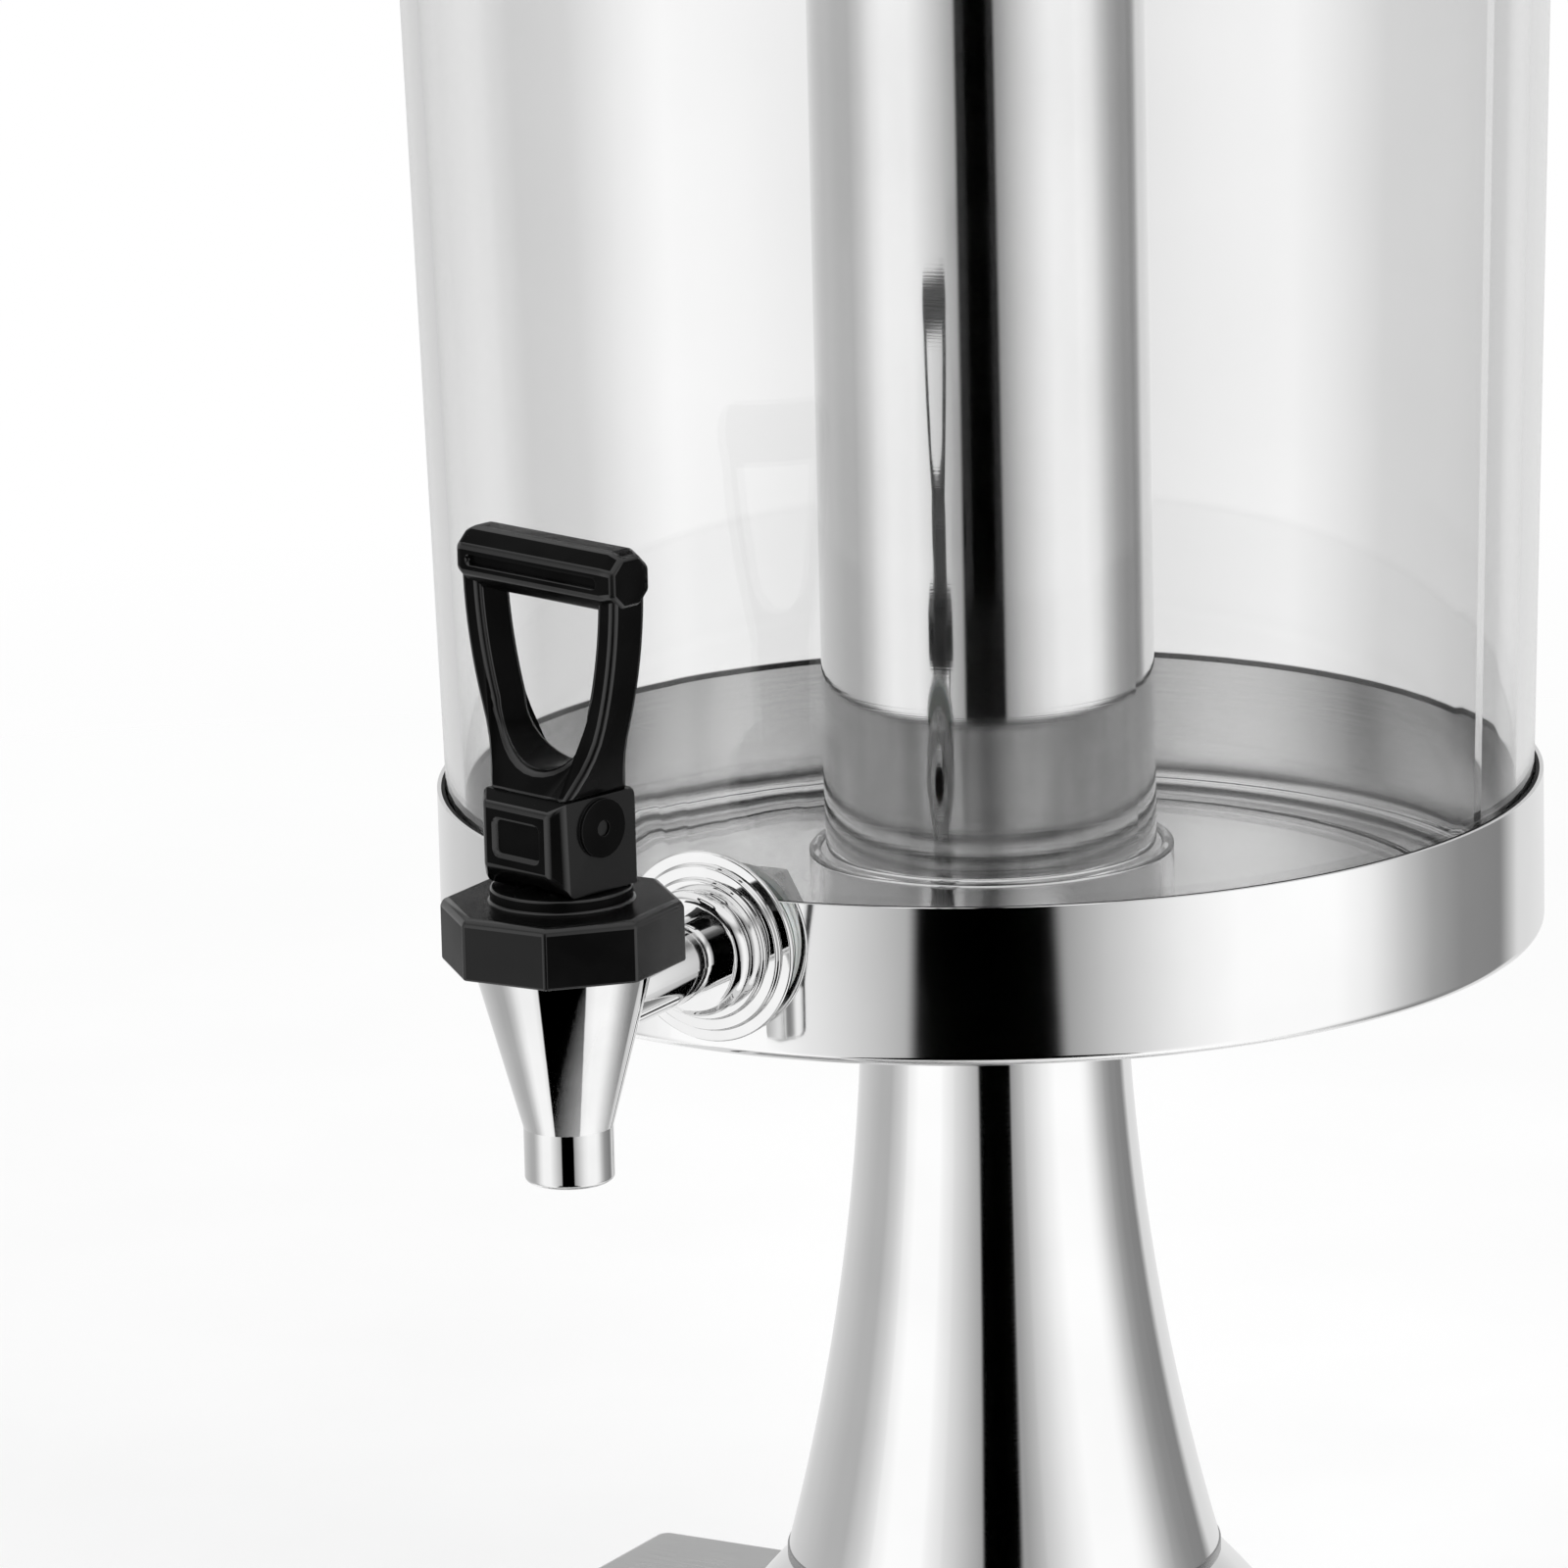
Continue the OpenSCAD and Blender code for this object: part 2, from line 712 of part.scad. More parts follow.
module tank() {
    inner_r = tank_bottom_r - tank_wall + (tank_floor + step_h) * tan(tank_draft);
    color("lightcyan", 0.35) difference() {
        union() {
            at_axis() translate([0, 0, tank_z]) rotate_extrude() {
                difference() {
                    union() {
                        drafted_profile(tank_bottom_r, tank_h, tank_edge_r);
                        translate([tank_top_r, tank_h - rim_bead_r]) circle(rim_bead_r);
                    }
                    translate([0, tank_floor + step_h])
                        drafted_profile(inner_r, tank_h, tank_edge_r);
                    band(0, step_r, tank_floor, tank_floor + step_h + tank_edge_r);
                }
            }
            intersection() {
                tank_form(0);
                at_tap() bar_y(boss_r, pan_face, boss_y);
            }
        }
        at_tap() bar_y(shank_r + fix_gap, pan_face, boss_y + past);
    }
}

module tube_ring() {
    color("lightcyan", 0.35) at_axis()
        ring(collar_r - collar_wall, collar_r, floor_z + fix_gap, floor_z + collar_h);
}

module ice_tube() {
    roll_r = 1.2;
    tube_h = tube_top - tube_z;
    color("gainsboro") at_axis() translate([0, 0, tube_z]) rotate_extrude() {
        difference() {
            cup_profile(tube_r, tube_h, tube_edge_r);
            translate([0, tube_sheet]) cup_profile(tube_r - tube_sheet, tube_h, tube_edge_r - tube_sheet);
        }
        translate([tube_r, tube_h - roll_r]) circle(roll_r);
    }
}

module lid() {
    centre_z = lid_rise - dome_arc_r;
    color("gainsboro") at_axis() translate([0, 0, lid_z]) rotate_extrude() difference() {
        union() {
            intersection() {
                translate([0, centre_z]) circle(dome_arc_r, $fn = 720);
                band(0, dome_r, 0, lid_rise - knob_seat_drop);
            }
            band(0, lid_r, 0, lid_sheet);
            band(lid_in_r, lid_r, -lid_skirt, lid_sheet / 2);
        }
        difference() {
            intersection() {
                translate([0, centre_z]) circle(dome_arc_r - lid_sheet, $fn = 720);
                band(0, dome_r, -past, lid_rise);
            }
            band(0, knob_seat_r + lap, lid_rise - knob_seat_drop - lid_sheet, lid_rise);
        }
        band(0, knob_screw_r + fix_gap, 0, lid_rise);
    }
}

module lid_knob() {
    head_z = knob_h - knob_edge_r;
    color("black") at_axis() translate([0, 0, knob_z]) rotate_extrude() difference() {
        union() {
            band(0, knob_neck_r, 0, head_z);
            band(0, knob_r - knob_edge_r, head_z - knob_edge_r, knob_h);
            translate([knob_r - knob_edge_r, head_z]) circle(knob_edge_r);
        }
        band(0, knob_screw_r + fix_gap, -past, knob_screw_len + end_room);
    }
}

module knob_screw() {
    color("silver") at_axis() {
        ring(0, knob_head_r, knob_seat - knob_head_h, knob_seat);
        ring(0, knob_screw_r, knob_seat - lap, knob_z + knob_screw_len);
    }
}

module knob_washer() {
    color("silver") at_axis()
        ring(knob_screw_r + fix_gap, knob_washer_r, knob_seat, knob_seat + knob_washer_t);
}

module tap_body() {
    lip_r = 1;
    edge = shoulder_w / 2;
    color("silver") at_tap() difference() {
        union() {
            rotate_extrude() {
                translate([0, tip_z]) cup_profile(spout_r, spout_len, lip_r);
                polygon([[0, cone_z], [spout_r, cone_z], [cone_top_r, body_rise], [0, body_rise]]);
                band(0, thread_r, body_rise - lap, thread_top);
            }
            bar_y(shank_r, 0, shank_end);
            rotate([-90, 0, 0]) translate([0, 0, shoulder_y - shoulder_w]) rotate_extrude() {
                band(0, shoulder_r - edge, 0, shoulder_w);
                translate([shoulder_r - edge, edge]) circle(edge);
            }
        }
        ring(0, chamber_r, seat_z, thread_top + past);
        ring(0, spout_bore_r, tip_z - past, seat_z + past);
        bar_y(shank_bore_r, 0, shank_end + past);
    }
}

module tap_flange() {
    color("silver") at_tap() difference() {
        for (step = [1 : flange_steps]) {
            lost = flange_steps - step;
            bar_y(flange_r - lost * flange_step_r, flange_y - (lost + 1) * flange_step_t, flange_y);
        }
        bar_y(shank_r + fix_gap, shoulder_y - past, flange_y + past);
    }
}

module flange_seal() {
    color("dimgray") difference() {
        at_tap() {
            difference() {
                bar_y(flange_seal_r, flange_y, pan_face + flange_seal_r / 2);
                translate([0, tap_reach, 0])
                    cylinder(r = pan_r + lift_gap, h = 4 * flange_r, center = true, $fn = 720);
            }
            bar_y(spigot_r, flange_y, boss_y);
        }
        tank_form(fix_gap, $fn = 720);
        at_tap() bar_y(shank_r + fix_gap, flange_y - past, boss_y + past);
    }
}

module inner_seal() {
    color("dimgray") at_tap() ring_y(shank_r + fix_gap, inner_ring_r, boss_y, inner_washer_y);
}

module shank_washer() {
    color("silver") at_tap() ring_y(shank_r + fix_gap, inner_ring_r, inner_washer_y, shank_nut_y);
}

module shank_nut() {
    color("silver") at_tap() difference() {
        translate([0, shank_nut_y, 0]) rotate([-90, 0, 0])
            cylinder(r = hex_r(shank_nut_af), h = shank_nut_h, $fn = 6);
        bar_y(shank_r + fix_gap, shank_nut_y - past, shank_nut_y + shank_nut_h + past);
    }
}

module bonnet() {
    seal_top = thread_top + bonnet_seal_t;
    color("black") at_tap() difference() {
        union() {
            translate([0, 0, body_rise]) rotate([0, 0, 180 / bonnet_sides])
                cylinder(r = bonnet_r, h = bonnet_h, $fn = bonnet_sides);
            ring(0, hub_r, bonnet_top - lap, hub_top);
        }
        ring(0, thread_r + fix_gap, body_rise - past, seal_top);
        ring(0, pocket_r, seal_top - past, spring_top);
        ring(0, stem_r + run_gap, body_rise, hub_top + past);
    }
}

module bonnet_seal() {
    color("dimgray") at_tap() ring(chamber_r, thread_r, thread_top, thread_top + bonnet_seal_t);
}

module seat_cup() {
    skirt = 3;
    step = 1;
    color("whitesmoke") at_tap() translate([0, 0, cup_z]) rotate_extrude() difference() {
        union() {
            band(0, seat_r, 0, skirt);
            band(0, seat_r - step, 0, seat_h);
        }
        band(0, stem_foot_r + run_gap, seat_skin - run_gap, seat_skin + stem_foot_h + run_gap);
        band(0, stem_r + run_gap, seat_skin, seat_h + past);
    }
}

module stem() {
    color("silver") difference() {
        at_tap() {
            ring(0, stem_foot_r, stem_z, stem_z + stem_foot_h);
            ring(0, stem_r, stem_z, stem_top);
            ring(0, stem_collar_r, collar_z, collar_z + stem_collar_t);
        }
        at_lever() translate([0, 0, pin_z]) bar_x(pin_r + run_gap, 4 * stem_r);
    }
}

// Points round the wire of the spring at a place along its coil, from 0 to 1
function wire_ring(place, sides) =
    let (
        low = spring_z + wire_r + spring_gap,
        high = spring_top - wire_r - spring_gap,
        turn = 360 * spring_turns * place
    )
    [for (k = [0 : sides - 1])
        let (r = spring_r + wire_r * cos(360 * k / sides))
        [r * cos(turn), r * sin(turn), low + (high - low) * place + wire_r * sin(360 * k / sides)]
    ];

module spring() {
    sides = 6;
    steps = 16;
    rings = spring_turns * steps;
    points = [for (i = [0 : rings]) each wire_ring(i / rings, sides)];
    walls = [
        for (i = [0 : rings - 1])
        for (k = [0 : sides - 1])
        let (
            a = i * sides + k,
            b = i * sides + (k + 1) % sides
        )
        each [[a, b, b + sides], [a, b + sides, a + sides]]
    ];
    start = [for (k = [1 : sides - 2]) [0, k + 1, k]];
    end = [for (k = [1 : sides - 2]) [rings * sides, rings * sides + k, rings * sides + k + 1]];
    color("silver") at_tap() polyhedron(points, concat(walls, start, end));
}

// Side view of the lever's block, front to back, from its underside
module block_side() {
    half = block_d / 2;
    slope = 2;
    edge = 1.5;
    polygon([
        [-heel, 0], [half - edge, 0], [half, edge], [half, block_h - slope], [half - slope, block_h],
        [slope - half, block_h], [-half, block_h - slope], [-half, half - heel]
    ]);
}

// Plan of the lever's block with chamfered corners
module block_plan() {
    x = block_w / 2;
    y = block_d / 2;
    c = block_chamfer;
    polygon([
        [c - x, -y], [x - c, -y], [x, c - y], [x, y - c],
        [x - c, y], [c - x, y], [-x, y - c], [-x, c - y]
    ]);
}

// Slot for the stem, front to back, from the pin's axis, for the whole tilt of the lever
module stem_slot() {
    a = stem_r + slot_gap;
    slant = a / cos(lever_tilt);
    t = tan(lever_tilt);
    low = -pin_rise - past;
    high = stem_r * sin(lever_tilt) + (stem_top - pin_z) * cos(lever_tilt) + slot_gap;
    knee = (slant - a) / t;
    polygon([
        [low * t - slant, low], [a, low], [a, -knee], [slant + high * t, high], [-a, high], [-a, knee]
    ]);
}

// Lens between the arcs of the loop's two legs
module loop_lens(r) {
    centre = loop_w / 2 - leg_arc_r;
    intersection() {
        translate([centre, bar_z]) circle(r, $fn = 360);
        translate([-centre, bar_z]) circle(r, $fn = 360);
    }
}

// Front view of the lever's loop
module loop_front() {
    root = 4;
    inner_r = leg_arc_r - leg_w;
    round_z = bar_z - sqrt(pow(inner_r, 2) - pow(loop_round_r + leg_arc_r - loop_w / 2, 2));
    difference() {
        intersection() {
            loop_lens(leg_arc_r);
            translate([-loop_w, block_z + block_h - root]) square([2 * loop_w, bar_rise - block_h + root]);
        }
        intersection() {
            loop_lens(inner_r);
            translate([-loop_w, round_z]) square([2 * loop_w, bar_z - round_z]);
        }
        translate([0, round_z]) circle(loop_round_r);
    }
}

// Side view of the lever's loop, which thickens into its neck on the block
module loop_side() {
    top = block_z + block_h;
    polygon([
        [-neck_d / 2, block_z], [neck_d / 2, block_z], [neck_d / 2, top], [leg_t / 2, top + neck_rise],
        [leg_t / 2, bar_z], [-leg_t / 2, bar_z], [-leg_t / 2, top + neck_rise], [-neck_d / 2, top]
    ]);
}

module handle() {
    bar_edge = min(bar_edge_r, bar_r - lap);
    color("black") at_lever() difference() {
        union() {
            intersection() {
                translate([0, 0, block_z]) linear_extrude(block_h) block_plan();
                translate([-block_w, 0, block_z]) rotate([90, 0, 90])
                    linear_extrude(2 * block_w) block_side();
            }
            translate([0, 0, pin_z]) bar_x(pad_r, block_w + 2 * pad_h);
            intersection() {
                rotate([90, 0, 0]) linear_extrude(neck_d, center = true) loop_front();
                translate([-loop_w, 0, 0]) rotate([90, 0, 90]) linear_extrude(2 * loop_w) loop_side();
            }
            translate([0, 0, bar_z]) rotate([0, 90, 0]) rotate_extrude() intersection() {
                band(0, bar_r, -bar_len / 2, bar_len / 2);
                rounded(2 * bar_r, bar_len, bar_edge);
            }
        }
        translate([-stem_r - slot_gap, 0, pin_z]) rotate([90, 0, 90])
            linear_extrude(2 * (stem_r + slot_gap)) stem_slot();
        translate([0, 0, pin_z]) bar_x(pin_r + fix_gap, 2 * block_w);
    }
}

module handle_pin() {
    color("dimgray") at_lever() translate([0, 0, pin_z]) bar_x(pin_r, block_w + pad_h);
}

base_shell();
base_plate();
rubber_feet();
foot_screws();
drip_tray();
drip_grid();
column();
column_ring();
column_foot();
tie_rod();
tie_nuts();
tie_washers();
pan();
tank_gasket();
tank();
tube_ring();
ice_tube();
lid();
lid_knob();
knob_screw();
knob_washer();
tap_body();
tap_flange();
flange_seal();
inner_seal();
shank_washer();
shank_nut();
bonnet();
bonnet_seal();
seat_cup();
stem();
spring();
handle();
handle_pin();
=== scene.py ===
import json
import math

import bmesh
import bpy
from mathutils import Matrix, Vector


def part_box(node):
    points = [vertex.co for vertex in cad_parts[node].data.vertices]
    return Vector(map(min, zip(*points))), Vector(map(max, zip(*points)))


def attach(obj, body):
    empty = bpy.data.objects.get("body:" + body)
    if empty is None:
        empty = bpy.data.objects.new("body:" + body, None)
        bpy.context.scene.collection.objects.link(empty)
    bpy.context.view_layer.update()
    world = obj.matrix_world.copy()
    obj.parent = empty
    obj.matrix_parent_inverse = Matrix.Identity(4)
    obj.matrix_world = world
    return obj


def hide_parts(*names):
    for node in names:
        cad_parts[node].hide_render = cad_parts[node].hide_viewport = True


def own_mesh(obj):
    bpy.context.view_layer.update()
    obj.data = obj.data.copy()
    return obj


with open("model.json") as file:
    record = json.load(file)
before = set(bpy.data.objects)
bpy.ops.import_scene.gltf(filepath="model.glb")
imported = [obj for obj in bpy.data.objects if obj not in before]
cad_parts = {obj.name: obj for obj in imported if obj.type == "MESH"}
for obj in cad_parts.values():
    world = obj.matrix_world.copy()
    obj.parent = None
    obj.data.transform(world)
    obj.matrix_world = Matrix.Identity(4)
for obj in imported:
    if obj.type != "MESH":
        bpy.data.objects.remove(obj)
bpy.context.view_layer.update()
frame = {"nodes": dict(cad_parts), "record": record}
cad = frame["nodes"]


def mid(node):
    """The middle of a node's box."""
    low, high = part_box(node)
    return (Vector(low) + Vector(high)) / 2


# Places taken from the solids, in metres
AXIS_Y = mid("column").y
TAP_Y = mid("bonnet").y
RIM_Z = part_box("pan")[1][2]
BASE_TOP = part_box("base_shell")[1][2]
BONNET_HEIGHT = 0.012
BONNET_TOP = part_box("bonnet")[0][2] + BONNET_HEIGHT
HUB_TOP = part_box("bonnet")[1][2]

# The lever's block, loop and grip, in metres
BLOCK_GAP = 0.0003
BLOCK_HEIGHT = 0.0182
BLOCK_TOP = HUB_TOP + BLOCK_GAP + BLOCK_HEIGHT
BLOCK_HALF_WIDTH = 0.011
SLOT_HALF_WIDTH = 0.0036
PIN_Z = mid("handle_pin").z
PIN_R = 0.0015
PAD_R = 0.0056
GRIP_R = 0.0058
GRIP_LENGTH = 0.0435
GRIP_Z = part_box("handle")[1][2] - GRIP_R
LOOP_HALF_WIDTH = 0.0205
LOOP_ROUND_R = 0.0118
LOOP_OVERLAP = 0.0005
LEG_ARC_R = 0.092
LEG_WIDTH = 0.0048
LEG_HALF_DEPTH = 0.00425
NECK_HALF_DEPTH = 0.0085
NECK_RISE = 0.014

# The lever is stored turned about the tap's upright axis
LEVER_TURN = math.radians(-15)
LEVER = Matrix.Translation((0, TAP_Y, 0)) @ Matrix.Rotation(LEVER_TURN, 4, "Z")
FRONT = Vector((0, -1, 0))

# How strong the painted sheen is on chosen faces, as a share
SHEEN_SHARE = 0.35

# The pan's wall is satin within this radius and from this height above the pan's bottom, in metres
SATIN_R = 0.1104
SATIN_RISE = 0.0115

# Distances at which points count as one place, in metres
CUT_MERGE = 1e-7
MERGE = 1e-6
SAME = 1e-5
NEAR = 1e-4
MARGIN = 5e-4

# Faces that meet at less than the first angle are one, and at more than the second a sharp edge
FLAT_ANGLE = math.radians(0.4)
SHARP_ANGLE = math.radians(35)
# A face looks along a direction from this cosine on
SQUARE_ON = 0.99

# The photograph's camera
VIEW_AZIMUTH = math.radians(28.7)
VIEW_ELEVATION = math.radians(13.72)
VIEW_DISTANCE = 2.0
VIEW_ROLL = math.radians(-1.38)
VIEW_LENS = 228.5
RIM_RIGHT_OF_MIDDLE = 0.0413
RIM_ABOVE_MIDDLE = 0.00305

# The lamps, in metres
LAMP_AIM = (0, 0, 0.25)
LAMP_SIZE = 1.2


# Node helpers

def new_finish(name):
    """A node material with its tree and its main shader."""
    material = bpy.data.materials.new(name)
    material.use_nodes = True
    tree = material.node_tree
    return material, tree, tree.nodes["Principled BSDF"]


def add_node(tree, kind, **settings):
    node = tree.nodes.new(kind)
    for key, value in settings.items():
        setattr(node, key, value)
    return node


def maths(tree, operation, first, second=None):
    """One Math node; inputs are sockets or numbers."""
    node = add_node(tree, "ShaderNodeMath", operation=operation)
    for socket, value in zip(node.inputs, (first, second)):
        if isinstance(value, (int, float)):
            socket.default_value = value
        elif value is not None:
            tree.links.new(value, socket)
    return node.outputs[0]


def object_place(tree, stretch=(1, 1, 1), centre=(0, 0, 0)):
    """Object coordinates, centred and stretched."""
    place = add_node(tree, "ShaderNodeTexCoord")
    mapping = add_node(tree, "ShaderNodeMapping", vector_type="POINT")
    mapping.inputs["Location"].default_value = [-c * s for c, s in zip(centre, stretch)]
    mapping.inputs["Scale"].default_value = stretch
    tree.links.new(place.outputs["Object"], mapping.inputs["Vector"])
    return mapping.outputs["Vector"]


def mottle(tree, scale, detail, stretch=(1, 1, 1)):
    """Soft noise, stretched into streaks where wanted."""
    noise = add_node(tree, "ShaderNodeTexNoise")
    noise.inputs["Scale"].default_value = scale
    noise.inputs["Detail"].default_value = detail
    tree.links.new(object_place(tree, stretch), noise.inputs["Vector"])
    return noise.outputs["Fac"]


def from_axis(tree):
    """Distance from the column's axis, and height."""
    split = add_node(tree, "ShaderNodeSeparateXYZ")
    tree.links.new(object_place(tree, centre=(0, AXIS_Y, 0)), split.inputs[0])
    across = maths(tree, "POWER", split.outputs["X"], 2)
    deep = maths(tree, "POWER", split.outputs["Y"], 2)
    return maths(tree, "SQRT", maths(tree, "ADD", across, deep)), split.outputs["Z"]


def turned_lines(tree, scale):
    """Fine lines that run round the column's axis, on walls and on floors alike."""
    reach, height = from_axis(tree)
    noise = add_node(tree, "ShaderNodeTexNoise", noise_dimensions="1D")
    noise.inputs["Scale"].default_value = scale
    noise.inputs["Detail"].default_value = 2
    tree.links.new(maths(tree, "ADD", reach, height), noise.inputs["W"])
    return noise.outputs["Fac"]


def between(tree, value, first, last, start=0.35, end=0.65):
    """A number that goes from the first to the last as the value goes from start to end."""
    node = add_node(tree, "ShaderNodeMapRange")
    node.inputs["From Min"].default_value = start
    node.inputs["From Max"].default_value = end
    node.inputs["To Min"].default_value = first
    node.inputs["To Max"].default_value = last
    tree.links.new(value, node.inputs["Value"])
    return node.outputs["Result"]


def shade(tree, value, first, last, start=0.35, end=0.65):
    """A colour that goes from the first to the last as the value goes from start to end."""
    ramp = add_node(tree, "ShaderNodeValToRGB")
    low, high = ramp.color_ramp.elements
    low.position, low.color = start, (*first, 1)
    high.position, high.color = end, (*last, 1)
    tree.links.new(value, ramp.inputs["Fac"])
    return ramp.outputs["Color"]


def grey(level):
    return (level, level, level)


def relief(tree, shader, height, depth, strength):
    """Bump from a height, with its depth in metres."""
    bump = add_node(tree, "ShaderNodeBump")
    bump.inputs["Strength"].default_value = strength
    bump.inputs["Distance"].default_value = depth
    tree.links.new(height, bump.inputs["Height"])
    tree.links.new(bump.outputs["Normal"], shader.inputs["Normal"])


# Finishes

def polished_sheet(name, dark, light, rough, line_depth):
    """Turned and polished stainless sheet with faint lines and handling haze."""
    material, tree, shader = new_finish(name)
    haze = mottle(tree, scale=28, detail=4)
    lines = turned_lines(tree, scale=2600)
    shader.inputs["Metallic"].default_value = 1
    tree.links.new(shade(tree, haze, grey(dark), grey(light)), shader.inputs["Base Color"])
    hazed = between(tree, haze, 0.75, 1.25)
    lined = between(tree, lines, rough * 0.8, rough * 1.2)
    tree.links.new(maths(tree, "MULTIPLY", hazed, lined), shader.inputs["Roughness"])
    relief(tree, shader, lines, depth=line_depth, strength=0.4)
    return material


def pan_sheet(satin_r, satin_z):
    """Polished stainless sheet that keeps its turning lines within a radius and above a height."""
    material, tree, shader = new_finish("pan_sheet")
    haze = mottle(tree, scale=28, detail=4)
    lines = turned_lines(tree, scale=1400)
    reach, height = from_axis(tree)
    shader.inputs["Metallic"].default_value = 1
    tree.links.new(shade(tree, haze, grey(0.95), grey(0.99)), shader.inputs["Base Color"])
    polished = between(tree, haze, 0.045, 0.075)
    satin = maths(tree, "ADD", between(tree, haze, 0.17, 0.2), between(tree, lines, 0, 0.04))
    blur_r, blur_z = 0.0002, 0.001
    inside = between(tree, reach, 1, 0, start=satin_r, end=satin_r + blur_r)
    above = between(tree, height, 0, 1, start=satin_z, end=satin_z + blur_z)
    on_wall = maths(tree, "MULTIPLY", inside, above)
    elsewhere = maths(tree, "SUBTRACT", 1, on_wall)
    spread = maths(tree, "ADD", maths(tree, "MULTIPLY", satin, on_wall),
                   maths(tree, "MULTIPLY", polished, elsewhere))
    tree.links.new(spread, shader.inputs["Roughness"])
    # The turning lines spread a mirror image across themselves
    tree.links.new(on_wall, shader.inputs["Anisotropic"])
    shader.inputs["Anisotropic Rotation"].default_value = 0.25
    round_axis = add_node(tree, "ShaderNodeVectorMath", operation="CROSS_PRODUCT")
    tree.links.new(object_place(tree, centre=(0, AXIS_Y, 0)), round_axis.inputs[0])
    round_axis.inputs[1].default_value = (0, 0, 1)
    tree.links.new(round_axis.outputs["Vector"], shader.inputs["Tangent"])
    relief(tree, shader, lines, depth=0.000001, strength=0.4)
    return material


def brushed_sheet(name, dark, light, rough):
    """Stainless sheet brushed from side to side."""
    material, tree, shader = new_finish(name)
    haze = mottle(tree, scale=22, detail=4)
    strokes = mottle(tree, scale=90, detail=3, stretch=(1, 45, 45))
    shader.inputs["Metallic"].default_value = 1
    tree.links.new(shade(tree, strokes, grey(dark), grey(light)), shader.inputs["Base Color"])
    hazed = between(tree, haze, 0.8, 1.2)
    stroked = between(tree, strokes, rough * 0.75, rough * 1.25)
    tree.links.new(maths(tree, "MULTIPLY", hazed, stroked), shader.inputs["Roughness"])
    relief(tree, shader, strokes, depth=0.00003, strength=0.3)
    return material


def chromed_casting():
    """Bright chrome over a casting that is a little uneven."""
    material, tree, shader = new_finish("chromed_casting")
    haze = mottle(tree, scale=60, detail=4)
    shader.inputs["Metallic"].default_value = 1
    tree.links.new(shade(tree, haze, grey(0.86), grey(0.93)), shader.inputs["Base Color"])
    tree.links.new(between(tree, haze, 0.02, 0.06), shader.inputs["Roughness"])
    relief(tree, shader, mottle(tree, scale=180, detail=2), depth=0.00003, strength=0.2)
    return material


def tank_glass():
    """Clear glass with a slight waviness and a few wiped smears."""
    material, tree, shader = new_finish("tank_glass")
    smear = mottle(tree, scale=14, detail=3)
    shader.inputs["Transmission Weight"].default_value = 1
    shader.inputs["IOR"].default_value = 1.46
    tree.links.new(shade(tree, smear, grey(0.955), grey(0.98)), shader.inputs["Base Color"])
    tree.links.new(between(tree, smear, 0, 0.03, start=0.6, end=0.8), shader.inputs["Roughness"])
    waves = mottle(tree, scale=9, detail=1, stretch=(1, 1, 0.35))
    relief(tree, shader, waves, depth=0.0003, strength=0.05)
    return material


def moulded_black(name, tone, rough, grain, gloss, painted_sheen_gloss=None):
    """Black moulded plastic or rubber with a fine grain and worn patches, and on plastic a painted sheen on
    marked edges and faces.
    """
    material, tree, shader = new_finish(name)
    patches = mottle(tree, scale=90, detail=4)
    tree.links.new(shade(tree, patches, grey(0.7 * tone), grey(1.4 * tone)), shader.inputs["Base Color"])
    tree.links.new(between(tree, patches, rough * 0.85, rough * 1.2), shader.inputs["Roughness"])
    shader.inputs["Specular IOR Level"].default_value = gloss
    # Marked edges and faces get a higher specular level than the rest: a painted sheen that stands in for
    # highlights.
    if painted_sheen_gloss is not None:
        edges = add_node(tree, "ShaderNodeAttribute", attribute_name="painted_sheen")
        shine = between(tree, edges.outputs["Fac"], gloss, painted_sheen_gloss, start=0, end=1)
        tree.links.new(shine, shader.inputs["Specular IOR Level"])
    relief(tree, shader, mottle(tree, scale=2400, detail=2), depth=grain, strength=0.35)
    return material


def pale_silicone():
    """Milky silicone that lets a little light in."""
    material, tree, shader = new_finish("pale_silicone")
    cloud = mottle(tree, scale=120, detail=3)
    tones = shade(tree, cloud, (0.66, 0.66, 0.63), (0.8, 0.8, 0.77))
    tree.links.new(tones, shader.inputs["Base Color"])
    tree.links.new(between(tree, cloud, 0.45, 0.6), shader.inputs["Roughness"])
    shader.inputs["Subsurface Weight"].default_value = 0.1
    relief(tree, shader, cloud, depth=0.0001, strength=0.3)
    return material


def plain_fastener(name, dark, light):
    """Plain metal with fine upright streaks."""
    material, tree, shader = new_finish(name)
    streak = mottle(tree, scale=300, detail=4, stretch=(1, 1, 0.2))
    shader.inputs["Metallic"].default_value = 1
    tree.links.new(shade(tree, streak, grey(dark), grey(light)), shader.inputs["Base Color"])
    tree.links.new(between(tree, streak, 0.22, 0.4), shader.inputs["Roughness"])
    relief(tree, shader, streak, depth=0.00008, strength=0.3)
    return material


def coated_plate():
    """Grey powder coat with a fine speckle."""
    material, tree, shader = new_finish("coated_plate")
    speck = mottle(tree, scale=700, detail=3)
    tree.links.new(shade(tree, speck, grey(0.2), grey(0.3)), shader.inputs["Base Color"])
    tree.links.new(between(tree, speck, 0.5, 0.7), shader.inputs["Roughness"])
    relief(tree, shader, speck, depth=0.0001, strength=0.4)
    return material


